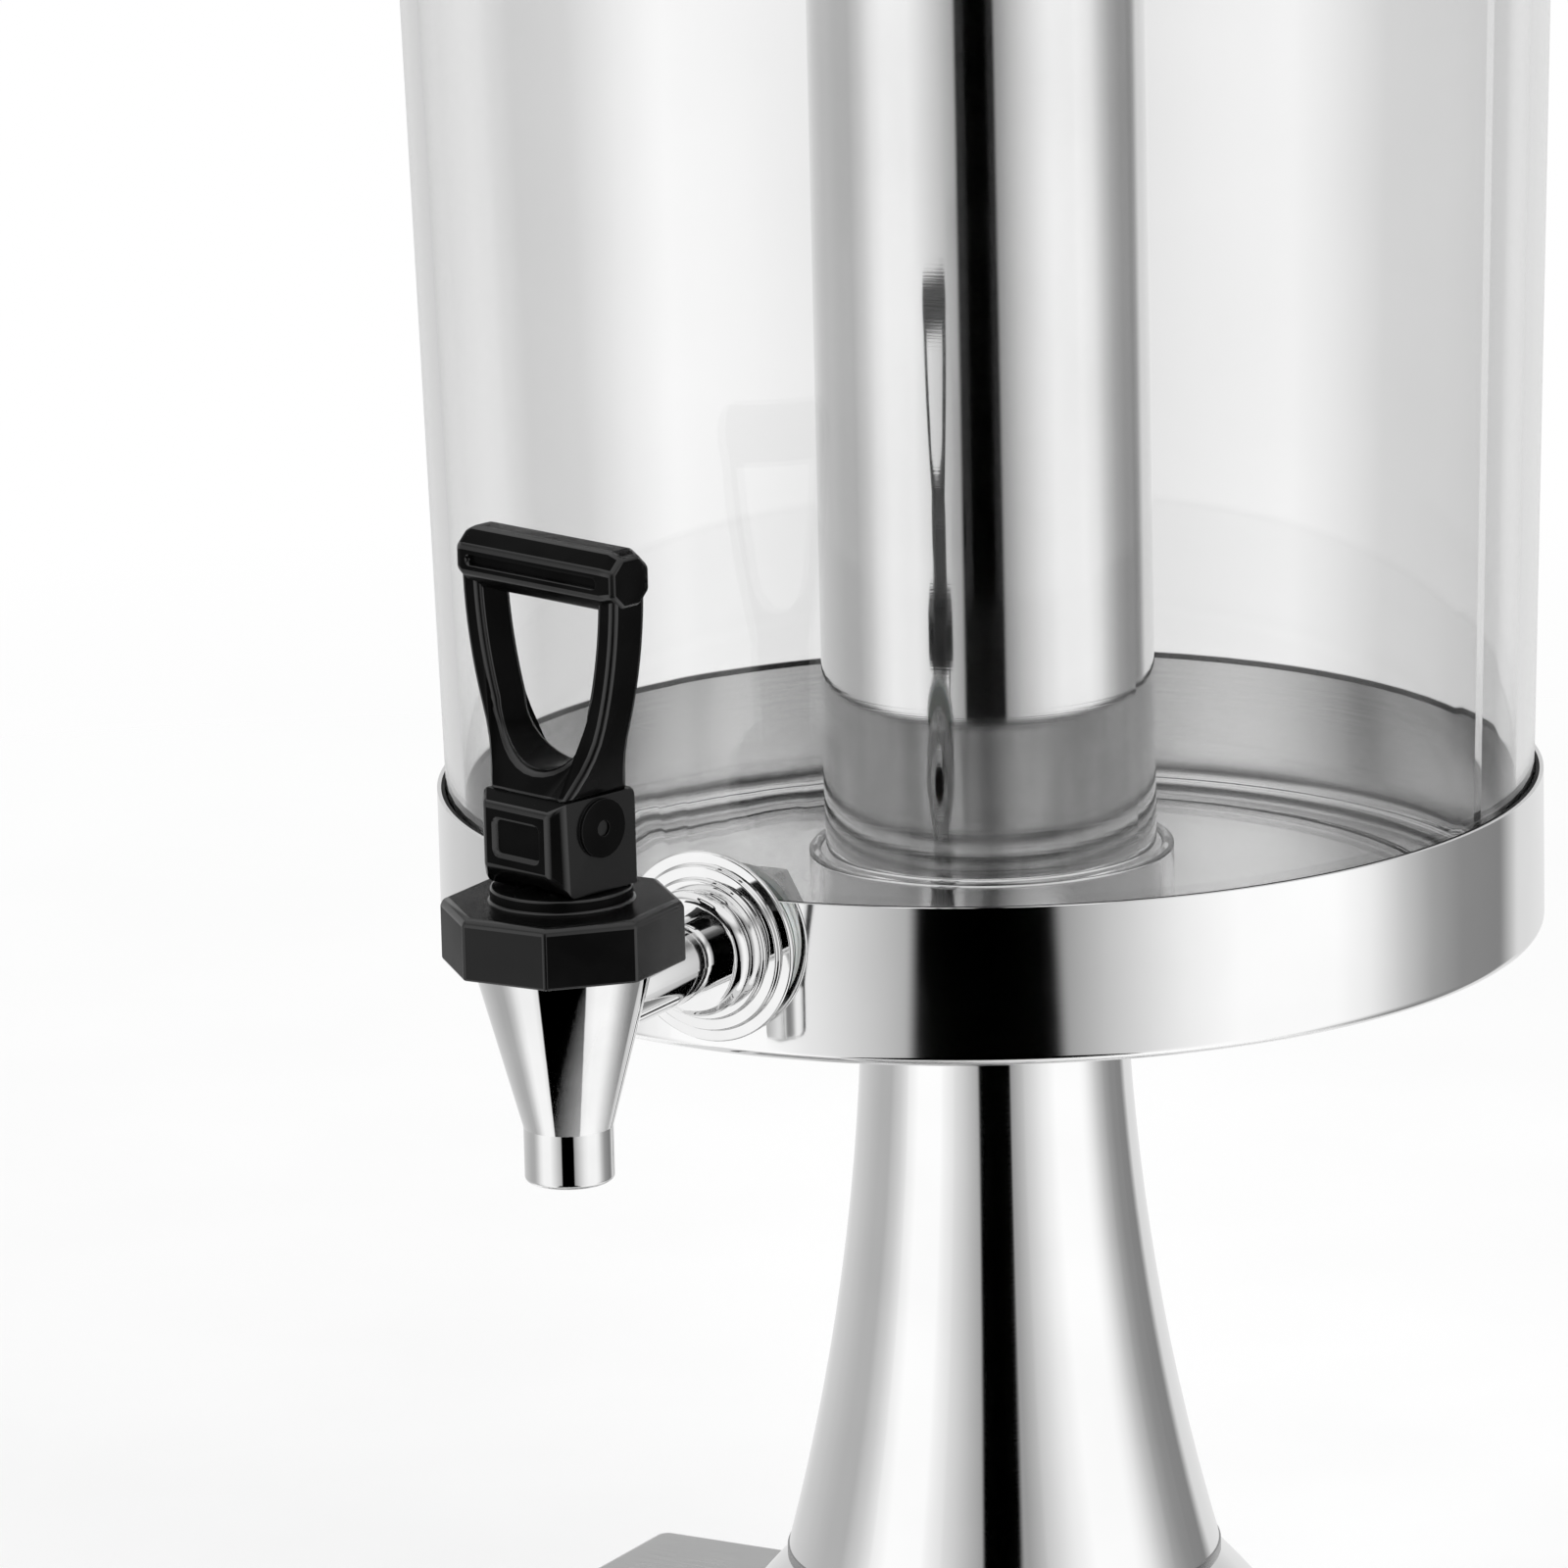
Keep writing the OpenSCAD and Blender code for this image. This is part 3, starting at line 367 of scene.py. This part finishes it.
POLISHED = polished_sheet("polished_sheet", dark=0.95, light=0.99, rough=0.06, line_depth=0.000006)
PAN_SHEET = pan_sheet(SATIN_R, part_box("pan")[0][2] + SATIN_RISE)
BAND_SHEET = polished_sheet("band_sheet", dark=0.4, light=0.46, rough=0.3, line_depth=0.000006)
BRUSHED = brushed_sheet("brushed_sheet", dark=0.74, light=0.82, rough=0.2)
GRID_STEEL = brushed_sheet("grid_sheet", dark=0.66, light=0.76, rough=0.26)
CHROME = chromed_casting()
GLASS = tank_glass()
BLACK = moulded_black("black_plastic", tone=0.003, rough=0.22, grain=0.00001, gloss=0.03, painted_sheen_gloss=0.65)
TRAY_BLACK = moulded_black("tray_plastic", tone=0.03, rough=0.5, grain=0.00008, gloss=0.4, painted_sheen_gloss=0.6)
RUBBER = moulded_black("black_rubber", tone=0.015, rough=0.65, grain=0.0001, gloss=0.3)
SILICONE = pale_silicone()
FASTENER = plain_fastener("plain_fastener", dark=0.5, light=0.66)
BLACKENED = plain_fastener("blackened_pin", dark=0.02, light=0.04)
PLATE = coated_plate()

CAD_FINISHES = {
    POLISHED: ["column", "column_foot", "ice_tube", "lid"],
    PAN_SHEET: ["pan"],
    BAND_SHEET: ["column_ring"],
    BRUSHED: ["base_shell"],
    GRID_STEEL: ["drip_grid"],
    CHROME: ["tap_body", "tap_flange"],
    GLASS: ["tank", "tube_ring"],
    BLACK: ["bonnet", "handle", "lid_knob"],
    TRAY_BLACK: ["drip_tray"],
    RUBBER: ["tank_gasket", "rubber_feet"],
    SILICONE: ["flange_seal", "inner_seal", "bonnet_seal", "seat_cup"],
    FASTENER: ["foot_screws", "tie_rod", "tie_nuts", "tie_washers", "knob_screw", "knob_washer",
               "shank_washer", "shank_nut", "stem", "spring"],
    BLACKENED: ["handle_pin"],
    PLATE: ["base_plate"],
}
for finish, names in CAD_FINISHES.items():
    for name in names:
        cad[name].data.materials.clear()
        cad[name].data.materials.append(finish)


# Piece helpers

def body_of(node):
    return next(body for body, names in frame["record"]["behaviour"]["bodies"].items() if node in names)


def make_piece(name, bm, finish, node):
    """A finished mesh that stands for a CAD node and rides with its body."""
    mesh = bpy.data.meshes.new(name)
    for face in bm.faces:
        face.smooth = True
    bm.to_mesh(mesh)
    bm.free()
    mesh.set_sharp_from_angle(angle=SHARP_ANGLE)
    mesh.materials.append(finish)
    piece = bpy.data.objects.new(name, mesh)
    bpy.context.scene.collection.objects.link(piece)
    even = piece.modifiers.new("even_shading", "WEIGHTED_NORMAL")
    even.keep_sharp = True
    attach(piece, body_of(node))
    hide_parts(node)
    return piece


def flatten(bm):
    """Joins faces that lie in one plane."""
    bmesh.ops.dissolve_limit(bm, angle_limit=FLAT_ANGLE, verts=bm.verts, edges=bm.edges)


def node_copy(node):
    """A CAD node's shape as one joined mesh with plain flat faces."""
    bm = bmesh.new()
    bm.from_mesh(cad[node].data)
    bmesh.ops.remove_doubles(bm, verts=bm.verts, dist=MERGE)
    flatten(bm)
    return bm


def last_vert(spun):
    """The vertex at which a spin ended."""
    return next(part for part in spun["geom_last"] if isinstance(part, bmesh.types.BMVert))


def lies_in(edge, place):
    return all(place(vert.co) for vert in edge.verts)


def bevel(bm, edges, width, segments):
    """Rounds edges, and marks the new faces for a painted sheen."""
    painted_sheen = bm.faces.layers.float.get("painted_sheen") or bm.faces.layers.float.new("painted_sheen")
    rounded = bmesh.ops.bevel(bm, geom=edges, offset=width, segments=segments, profile=0.5,
                              affect="EDGES", clamp_overlap=True, material=-1)
    # The rounded edges are marked for a painted sheen that stands in for edge highlights.
    for face in rounded["faces"]:
        face[painted_sheen] = 1


def ease(bm, width, segments=2, angle=30, where=None, unless=None):
    """Rounds the edges sharper than an angle: all, or those in one place and not in another."""
    hard = [
        edge for edge in bm.edges
        if edge.is_manifold and edge.calc_face_angle() > math.radians(angle)
        and (where is None or lies_in(edge, where))
        and (unless is None or not lies_in(edge, unless))
    ]
    bevel(bm, hard, width, segments)


def eased_piece(node, name, finish, width, segments=2):
    """A CAD node's shape with all its sharp edges rounded."""
    bm = node_copy(node)
    ease(bm, width, segments)
    make_piece(name, bm, finish, node)


def paint_sheen(bm, share, where):
    """Marks the faces of one place for a partial painted sheen."""
    painted_sheen = bm.faces.layers.float["painted_sheen"]
    for face in bm.faces:
        if face[painted_sheen] == 0 and where(face):
            face[painted_sheen] = share


def facing(bm, direction):
    """The largest face that looks along a direction."""
    faces = [face for face in bm.faces if face.normal.dot(direction) > SQUARE_ON]
    return max(faces, key=lambda face: face.calc_area())


# Lever

def sunk_panel(bm, border, corner, corner_steps, slope, depth):
    """Sinks a panel with round corners into the largest front face, with a painted sheen on the sloping
    walls round it.
    """
    front = facing(bm, FRONT)
    bmesh.ops.inset_individual(bm, faces=[front], thickness=border, use_even_offset=True)
    bmesh.ops.bevel(bm, geom=front.verts[:], offset=corner, segments=corner_steps, profile=0.5,
                    affect="VERTICES", clamp_overlap=True, material=-1)
    walls = bmesh.ops.inset_individual(bm, faces=[facing(bm, FRONT)], thickness=slope,
                                       depth=-depth, use_even_offset=True)
    # The sloping walls get a painted sheen, so the panel's frame reads lighter.
    painted_sheen = bm.faces.layers.float["painted_sheen"]
    for face in walls["faces"]:
        face[painted_sheen] = 1


def lever_block():
    """The lever's block, cut from the solid below the loop, with eased edges and a sunk front panel."""
    bm = node_copy("handle")
    bmesh.ops.transform(bm, matrix=LEVER.inverted(), verts=bm.verts)
    skim, short_edge = 0.00002, 0.001
    cut = bmesh.ops.bisect_plane(bm, geom=bm.verts[:] + bm.edges[:] + bm.faces[:], dist=CUT_MERGE,
                                 plane_co=(0, 0, BLOCK_TOP - skim), plane_no=(0, 0, 1), clear_outer=True)
    rim = [part for part in cut["geom_cut"] if isinstance(part, bmesh.types.BMEdge)]
    bmesh.ops.edgeloop_fill(bm, edges=rim)
    flatten(bm)

    def from_pin(place):
        return math.hypot(place.y, place.z - PIN_Z)

    def on_top(place):
        return place.z > BLOCK_TOP - NEAR

    def outside(place):
        by_pin = from_pin(place) < PIN_R + MARGIN
        in_slot = abs(place.x) < SLOT_HALF_WIDTH + NEAR and place.z < BLOCK_TOP - MARGIN
        under = place.z < HUB_TOP + MARGIN
        return not by_pin and not in_slot and not under

    def by_pads(place):
        on_pad = from_pin(place) < PAD_R + 2 * NEAR
        return abs(place.x) > BLOCK_HALF_WIDTH - MARGIN and (on_pad or on_top(place))

    def on_side(face):
        return abs(abs(face.calc_center_median().x) - BLOCK_HALF_WIDTH) < NEAR

    # The pads nearly touch the top edges, so both get a finer rounding than the rest
    corners = [edge for edge in bm.edges if edge.calc_length() < short_edge and lies_in(edge, on_top)]
    bmesh.ops.collapse(bm, edges=corners)
    ease(bm, width=0.0008, angle=25, where=outside, unless=by_pads)
    ease(bm, width=0.0002, angle=25, where=by_pads)
    sunk_panel(bm, border=0.0014, corner=0.0015, corner_steps=3, slope=0.0007, depth=0.001)
    # The block's sides get a painted sheen, so they read lighter than its front.
    paint_sheen(bm, SHEEN_SHARE, on_side)
    return bm


def lever_loop():
    """The lever's loop: bowed legs that meet in a round and thicken into the block."""
    bm = bmesh.new()
    leg_centre = (LOOP_HALF_WIDTH - LEG_ARC_R, 0, GRIP_Z)
    inner_r = LEG_ARC_R - LEG_WIDTH
    inner_drop = math.sqrt(inner_r ** 2 - (LOOP_ROUND_R - leg_centre[0]) ** 2)
    foot_z = BLOCK_TOP - LOOP_OVERLAP
    leg_steps, round_steps = 14, 8

    def arc(start, centre, angle, steps):
        spun = bmesh.ops.spin(bm, geom=[start], cent=centre, axis=(0, 1, 0), angle=angle, steps=steps)
        return last_vert(spun)

    outside = bm.verts.new((LOOP_HALF_WIDTH, 0, GRIP_Z))
    ankle = arc(outside, leg_centre, math.asin((GRIP_Z - foot_z) / LEG_ARC_R), leg_steps)
    foot = bm.edges.new((ankle, bm.verts.new((0, 0, foot_z))))
    bmesh.ops.subdivide_edges(bm, edges=[foot], cuts=round_steps - 1)
    inside = bm.verts.new((LOOP_HALF_WIDTH - LEG_WIDTH, 0, GRIP_Z))
    bend = arc(inside, leg_centre, math.asin(inner_drop / inner_r), leg_steps)
    arc(bend, (0, 0, GRIP_Z - inner_drop), math.pi / 2, round_steps)
    bmesh.ops.bridge_loops(bm, edges=bm.edges)
    bmesh.ops.mirror(bm, geom=bm.verts[:] + bm.edges[:] + bm.faces[:], axis="X", merge_dist=SAME)
    bmesh.ops.remove_doubles(bm, verts=bm.verts, dist=MERGE)
    bmesh.ops.translate(bm, vec=(0, -LEG_HALF_DEPTH, 0), verts=bm.verts)
    grown = bmesh.ops.extrude_face_region(bm, geom=bm.faces[:])["geom"]
    back = [part for part in grown if isinstance(part, bmesh.types.BMVert)]
    bmesh.ops.translate(bm, vec=(0, 2 * LEG_HALF_DEPTH, 0), verts=back)
    bmesh.ops.recalc_face_normals(bm, faces=bm.faces)
    for vert in bm.verts:
        low = max(0, 1 - (vert.co.z - foot_z) / NECK_RISE)
        vert.co.y *= 1 + (NECK_HALF_DEPTH / LEG_HALF_DEPTH - 1) * low ** 2
    ease(bm, width=0.0014, segments=3, angle=50)
    return bm


def lever_grip():
    """The lever's grip: an eight-sided bar with rounded ends and a long sunk groove in front."""
    bm = bmesh.new()
    side_bevel, end_round = 0.0032, 0.0036
    bmesh.ops.create_cube(bm, size=1)
    bmesh.ops.scale(bm, vec=(GRIP_LENGTH, 2 * GRIP_R, 2 * GRIP_R), verts=bm.verts)
    long_edges = [edge for edge in bm.edges if edge.calc_length() > GRIP_LENGTH - MERGE]
    bmesh.ops.bevel(bm, geom=long_edges, offset=side_bevel, segments=1, profile=0.5,
                    affect="EDGES", clamp_overlap=True, material=-1)
    end_edges = [edge for edge in bm.edges if edge.calc_length() < GRIP_LENGTH / 2]
    bmesh.ops.bevel(bm, geom=end_edges, offset=end_round, segments=2, profile=0.5,
                    affect="EDGES", clamp_overlap=True, material=-1)
    ease(bm, width=0.0007, angle=35)
    sunk_panel(bm, border=0.0008, corner=0.001, corner_steps=4, slope=0.0003, depth=0.0012)
    bmesh.ops.translate(bm, vec=(0, 0, GRIP_Z), verts=bm.verts)
    return bm


def lever():
    """Block, loop and grip as the one moulding that they are."""
    whole = bmesh.new()
    for part in (lever_block(), lever_loop(), lever_grip()):
        held = bpy.data.meshes.new("lever_part")
        part.to_mesh(held)
        part.free()
        whole.from_mesh(held)
        bpy.data.meshes.remove(held)
    bmesh.ops.transform(whole, matrix=LEVER, verts=whole.verts)
    make_piece("lever_moulding", whole, BLACK, "handle")


# Other pieces

def bonnet():
    """The eight-sided cap nut with a wide bevel round its top."""
    bm = node_copy("bonnet")
    tap_axis = Vector((0, TAP_Y))
    past_hub_r, on_flat_r, at_corner_r = 0.012, 0.018, 0.02

    def from_tap(place):
        return (place.xy - tap_axis).length

    def crown(place):
        return abs(place.z - BONNET_TOP) < SAME and from_tap(place) > at_corner_r

    def square_flat(face):
        square = max(abs(face.normal.x), abs(face.normal.y)) > SQUARE_ON
        return square and from_tap(face.calc_center_median()) > on_flat_r

    ease(bm, width=0.0016, where=crown)
    ease(bm, width=0.0005, where=lambda place: from_tap(place) > past_hub_r)
    # The four flats that lie square to the tap get a painted sheen
    paint_sheen(bm, SHEEN_SHARE, square_flat)
    make_piece("cap_nut", bm, BLACK, "bonnet")


def base():
    """The folded base with a rounded top edge."""
    bm = node_copy("base_shell")
    low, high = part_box("base_shell")
    sheet, corner_r = 0.001, 0.003

    def near_side(place):
        return (abs(place.x) > high[0] - corner_r - sheet or place.y < low[1] + corner_r + sheet
                or place.y > high[1] - corner_r - sheet)

    def level(z):
        return lambda place: abs(place.z - z) < SAME and near_side(place)

    ease(bm, width=0.0014, segments=3, angle=60, where=level(BASE_TOP))
    ease(bm, width=0.0006, segments=3, angle=60, where=level(BASE_TOP - sheet))
    ease(bm, width=0.0003, angle=60, where=level(low[2]))
    make_piece("base_pressing", bm, BRUSHED, "base_shell")


def lid():
    """The domed lid with a rounded shoulder."""
    bm = node_copy("lid")
    axis = Vector((0, AXIS_Y))
    rim_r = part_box("lid")[1][0]
    rest_gap, sheet = 0.0001, 0.0008
    shoulder_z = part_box("tank")[1][2] + rest_gap + sheet

    def shoulder(place):
        return (place.xy - axis).length > rim_r - NEAR and abs(place.z - shoulder_z) < NEAR

    ease(bm, width=0.0012, segments=3, angle=60, where=shoulder)
    make_piece("lid_pressing", bm, POLISHED, "lid")


def pan():
    """The pan, turned from one sheet, with its dish and the notch for the tap."""
    low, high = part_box("pan")
    sheet, edge_r = 0.0008, 0.002
    dish_depth, dish_r, hole_r = 0.01, 0.0252, 0.00303
    notch_r, notch_reach, front_depth = 0.0105, 0.02, 0.1
    edge_steps, round_steps = 6, 256
    rim_r, floor_z = high[0], low[2] + dish_depth
    bm = bmesh.new()

    def line(start, r, z):
        end = bm.verts.new((r, AXIS_Y, z))
        bm.edges.new((start, end))
        return end

    dish = line(bm.verts.new((hole_r, AXIS_Y, low[2])), dish_r, low[2])
    floor = line(line(dish, dish_r, floor_z), rim_r - edge_r, floor_z)
    edge = bmesh.ops.spin(bm, geom=[floor], cent=(rim_r - edge_r, AXIS_Y, floor_z + edge_r),
                          axis=(0, -1, 0), angle=math.pi / 2, steps=edge_steps)
    line(last_vert(edge), rim_r, high[2])
    bmesh.ops.spin(bm, geom=bm.verts[:] + bm.edges[:], cent=(0, AXIS_Y, 0), axis=(0, 0, 1),
                   angle=2 * math.pi, steps=round_steps, use_merge=True)
    bmesh.ops.remove_doubles(bm, verts=bm.verts, dist=MERGE)
    bmesh.ops.recalc_face_normals(bm, faces=bm.faces)

    # The notch has straight sides and a round bottom, cut with one plane for each of its sides
    axis = Vector((0, 0, mid("shank_nut").z))
    turns = [math.radians(30 * step) for step in range(-6, 1)]
    sides = [Vector((math.cos(turn), 0, math.sin(turn))) for turn in turns]
    wall_z = floor_z + edge_r - SAME

    def by_notch(place):
        return abs(place.x) < notch_reach and place.z > wall_z

    def front_wall():
        return [face for face in bm.faces if face.calc_center_median().y < AXIS_Y - front_depth
                and all(by_notch(vert.co) for vert in face.verts)]

    for side in sides:
        faces = front_wall()
        edges = {edge for face in faces for edge in face.edges}
        verts = {vert for face in faces for vert in face.verts}
        bmesh.ops.bisect_plane(bm, geom=[*faces, *edges, *verts], dist=CUT_MERGE,
                               plane_co=axis + side * notch_r, plane_no=side)
    notched = [face for face in front_wall()
               if all((face.calc_center_median() - axis).dot(side) < notch_r for side in sides)]
    bmesh.ops.delete(bm, geom=notched, context="FACES")
    bmesh.ops.solidify(bm, geom=bm.faces[:], thickness=sheet)
    bmesh.ops.recalc_face_normals(bm, faces=bm.faces)
    make_piece("pan_pressing", bm, PAN_SHEET, "pan")


def return_spring():
    """The tap's spring as a piece with a mesh of its own."""
    piece = make_piece("return_spring", node_copy("spring"), FASTENER, "spring")
    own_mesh(piece)


lever()
bonnet()
base()
lid()
pan()
return_spring()
eased_piece("tap_flange", "stepped_flange", CHROME, width=0.0004)
eased_piece("column_ring", "column_band", BAND_SHEET, width=0.0003)
eased_piece("tube_ring", "tube_ring_moulding", GLASS, width=0.0008, segments=3)
eased_piece("shank_nut", "tap_nut", FASTENER, width=0.0003)
eased_piece("drip_tray", "drip_tray_moulding", TRAY_BLACK, width=0.0003)
eased_piece("drip_grid", "slotted_grid", GRID_STEEL, width=0.0003)


# Stage, light and camera

def ramp_round(tree, share, stops):
    """Grey tones by angle round the upright axis, from -180 to 180 degrees."""
    node = add_node(tree, "ShaderNodeValToRGB")
    ramp = node.color_ramp
    while len(ramp.elements) < len(stops):
        ramp.elements.new(0.5)
    for element, (angle, tone) in zip(ramp.elements, stops):
        element.position = (angle + 180) / 360
        element.color = (*grey(tone), 1)
    tree.links.new(share, node.inputs["Fac"])
    return node.outputs["Color"]


def mixed(tree, factor, first, second, blend="MIX"):
    """One colour Mix node; the factor and the colours are sockets or numbers."""
    node = add_node(tree, "ShaderNodeMix", data_type="RGBA", blend_type=blend)
    for key, value in (("Factor", factor), ("A", first), ("B", second)):
        socket = node.inputs[key]
        if isinstance(value, (int, float)):
            socket.default_value = value if socket.type == "VALUE" else (*grey(value), 1)
        else:
            tree.links.new(value, socket)
    return node.outputs["Result"]


def studio_world():
    """A white studio. Mirrors show it with grey screens and a dark strip behind the camera."""
    world = bpy.data.worlds.new("studio")
    bpy.context.scene.world = world
    world.use_nodes = True
    world.cycles.sampling_method = "NONE"
    tree = world.node_tree
    place = add_node(tree, "ShaderNodeTexCoord")
    turn = add_node(tree, "ShaderNodeMapping", vector_type="POINT")
    turn.inputs["Rotation"].default_value = (0, 0, -VIEW_AZIMUTH)
    tree.links.new(place.outputs["Generated"], turn.inputs["Vector"])
    split = add_node(tree, "ShaderNodeSeparateXYZ")
    tree.links.new(turn.outputs["Vector"], split.inputs[0])
    rise = split.outputs["Z"]
    to_camera = maths(tree, "MULTIPLY", split.outputs["Y"], -1)
    round_angle = maths(tree, "ARCTAN2", split.outputs["X"], to_camera)
    share = between(tree, round_angle, 0, 1, start=-math.pi, end=math.pi)
    # Angle and tone of the screens, where 0 degrees is behind the camera and 180 behind the object
    screens = ramp_round(tree, share, [
        (-180, 0.82), (-150, 0.62), (-112, 0.44), (-98, 0.43), (-87, 0.6), (-77, 0.86), (-68, 1),
        (-48, 1), (-40, 0.85), (-14, 0.36), (14, 0.32), (24, 0.55), (40, 0.86), (52, 1), (75, 1),
        (84, 0.86), (94, 0.55), (103, 0.35), (114, 0.25), (131, 0.22), (141, 0.7), (180, 0.82)])
    # Behind the object, a look through the tank meets a grey strip at each side of a pale middle
    backdrop = ramp_round(tree, share, [
        (-180, 0.88), (-178.4, 0.9), (-177.6, 1), (-177, 0.98), (-176.2, 0.77), (-175.3, 0.68),
        (-174.5, 0.71), (-173.2, 0.95), (168, 1), (171, 0.82), (174.5, 0.76), (175.3, 0.7),
        (176, 0.74), (177, 0.93), (177.7, 1), (178.5, 0.86), (180, 0.85)])
    # The dark strip widens towards the floor and narrows towards the ceiling
    strip_aside, strip_blur = math.radians(1.5), math.radians(3)
    widest, narrow = math.radians(36), math.radians(12.5)
    floor_width = between(tree, rise, widest, narrow, start=-0.7, end=-0.24)
    half_width = maths(tree, "MULTIPLY", floor_width, between(tree, rise, 1, 0.62, start=-0.24, end=0.29))
    strip = add_node(tree, "ShaderNodeMapRange", interpolation_type="SMOOTHSTEP")
    off_strip = maths(tree, "ABSOLUTE", maths(tree, "ADD", round_angle, strip_aside))
    tree.links.new(off_strip, strip.inputs["Value"])
    tree.links.new(half_width, strip.inputs["From Min"])
    tree.links.new(maths(tree, "ADD", half_width, strip_blur), strip.inputs["From Max"])
    walls = mixed(tree, 1, screens, strip.outputs["Result"], "MULTIPLY")
    # The ceiling has a dark band and is pale above it
    band_start, band_end, pale_start = 0.27, 0.43, 0.68
    band = shade(tree, rise, grey(0.62), grey(0.2), start=band_start, end=band_end)
    ceiling = mixed(tree, between(tree, rise, 0, 1, start=band_end, end=pale_start), band, 0.9)
    # It starts higher up behind the camera than behind the object
    aside = maths(tree, "ABSOLUTE", round_angle)
    ceiling_edge = between(tree, aside, 0.36, 0.02, start=math.radians(60), end=math.radians(120))
    above = maths(tree, "SUBTRACT", rise, ceiling_edge)
    studio = mixed(tree, between(tree, above, 0, 1, start=0, end=0.18), walls, ceiling)
    # The camera sees white, a look through the tank the backdrop and a mirror the studio.
    # All else gets an even light.
    path = add_node(tree, "ShaderNodeLightPath")
    unmirrored = maths(tree, "LESS_THAN", path.outputs["Glossy Depth"], 0.5)
    through = maths(tree, "MULTIPLY", path.outputs["Is Transmission Ray"], unmirrored)
    even = mixed(tree, path.outputs["Is Camera Ray"], 0.84, 1)
    mirrored = mixed(tree, path.outputs["Is Glossy Ray"], even, studio)
    seen = mixed(tree, through, mirrored, backdrop)
    tree.links.new(seen, tree.nodes["Background"].inputs["Color"])


def pale_floor():
    """A pale floor that keeps the object's shadow and fades into the white studio."""
    floor_r, sides = 1.6, 96
    bm = bmesh.new()
    bmesh.ops.create_circle(bm, cap_ends=True, radius=floor_r, segments=sides)
    mesh = bpy.data.meshes.new("floor")
    bm.to_mesh(mesh)
    bm.free()
    floor = bpy.data.objects.new("floor", mesh)
    bpy.context.scene.collection.objects.link(floor)
    material, tree, shader = new_finish("pale_floor")
    tones = shade(tree, mottle(tree, scale=6, detail=3), grey(0.91), grey(0.94))
    tree.links.new(tones, shader.inputs["Base Color"])
    shader.inputs["Roughness"].default_value = 0.8
    shader.inputs["Specular IOR Level"].default_value = 0
    length = add_node(tree, "ShaderNodeVectorMath", operation="LENGTH")
    tree.links.new(object_place(tree), length.inputs[0])
    reach = length.outputs["Value"]
    # Mirrors lose sight of the floor sooner than the camera does
    path = add_node(tree, "ShaderNodeLightPath")
    mirror_fade = between(tree, reach, 0, 1, start=0.2, end=0.32)
    mirrored = maths(tree, "MULTIPLY", path.outputs["Is Glossy Ray"], mirror_fade)
    fade = maths(tree, "MAXIMUM", between(tree, reach, 0, 1, start=0.4, end=1.4), mirrored)
    clear = add_node(tree, "ShaderNodeBsdfTransparent")
    mix = add_node(tree, "ShaderNodeMixShader")
    tree.links.new(fade, mix.inputs["Fac"])
    tree.links.new(shader.outputs["BSDF"], mix.inputs[1])
    tree.links.new(clear.outputs["BSDF"], mix.inputs[2])
    tree.links.new(mix.outputs["Shader"], tree.nodes["Material Output"].inputs["Surface"])
    mesh.materials.append(material)


def soft_lamp(name, place, power):
    """A round lamp that lights the object and shows in no mirror."""
    data = bpy.data.lights.new(name, "AREA")
    data.shape = "DISK"
    data.size = LAMP_SIZE
    data.energy = power
    lamp = bpy.data.objects.new(name, data)
    bpy.context.scene.collection.objects.link(lamp)
    lamp.location = place
    lamp.rotation_euler = (Vector(LAMP_AIM) - Vector(place)).to_track_quat("-Z", "Y").to_euler()
    lamp.visible_camera = False
    lamp.visible_glossy = False
    lamp.visible_transmission = False


def photo_camera():
    """The camera at the photograph's angle, distance and roll."""
    data = bpy.data.cameras.new("photo_camera")
    data.sensor_width = 36
    data.lens = VIEW_LENS
    data.clip_end = 50
    camera = bpy.data.objects.new("photo_camera", data)
    bpy.context.scene.collection.objects.link(camera)
    bpy.context.scene.camera = camera
    rim = Vector((0, AXIS_Y, RIM_Z))
    back = Vector((math.sin(VIEW_AZIMUTH) * math.cos(VIEW_ELEVATION),
                   -math.cos(VIEW_AZIMUTH) * math.cos(VIEW_ELEVATION), math.sin(VIEW_ELEVATION)))
    camera.location = rim + back * VIEW_DISTANCE
    roll = Matrix.Rotation(VIEW_ROLL, 3, "Z")
    turned = (-back).to_track_quat("-Z", "Y").to_matrix() @ roll
    # The rim's centre lies right of and above the picture's middle
    aim = rim - turned.col[0] * RIM_RIGHT_OF_MIDDLE - turned.col[1] * RIM_ABOVE_MIDDLE
    camera.rotation_mode = "QUATERNION"
    look = (aim - camera.location).to_track_quat("-Z", "Y")
    camera.rotation_quaternion = look @ roll.to_quaternion()


scene = bpy.context.scene
scene.view_settings.view_transform = "Standard"
# Light crosses many walls of the tank before it leaves
scene.cycles.max_bounces = 24
scene.cycles.transmission_bounces = 24
scene.cycles.glossy_bounces = 8
studio_world()
pale_floor()
soft_lamp("key_lamp", place=(-1.2, -1.4, 1.9), power=20)
soft_lamp("fill_lamp", place=(1.6, -0.6, 1.4), power=12)
photo_camera()
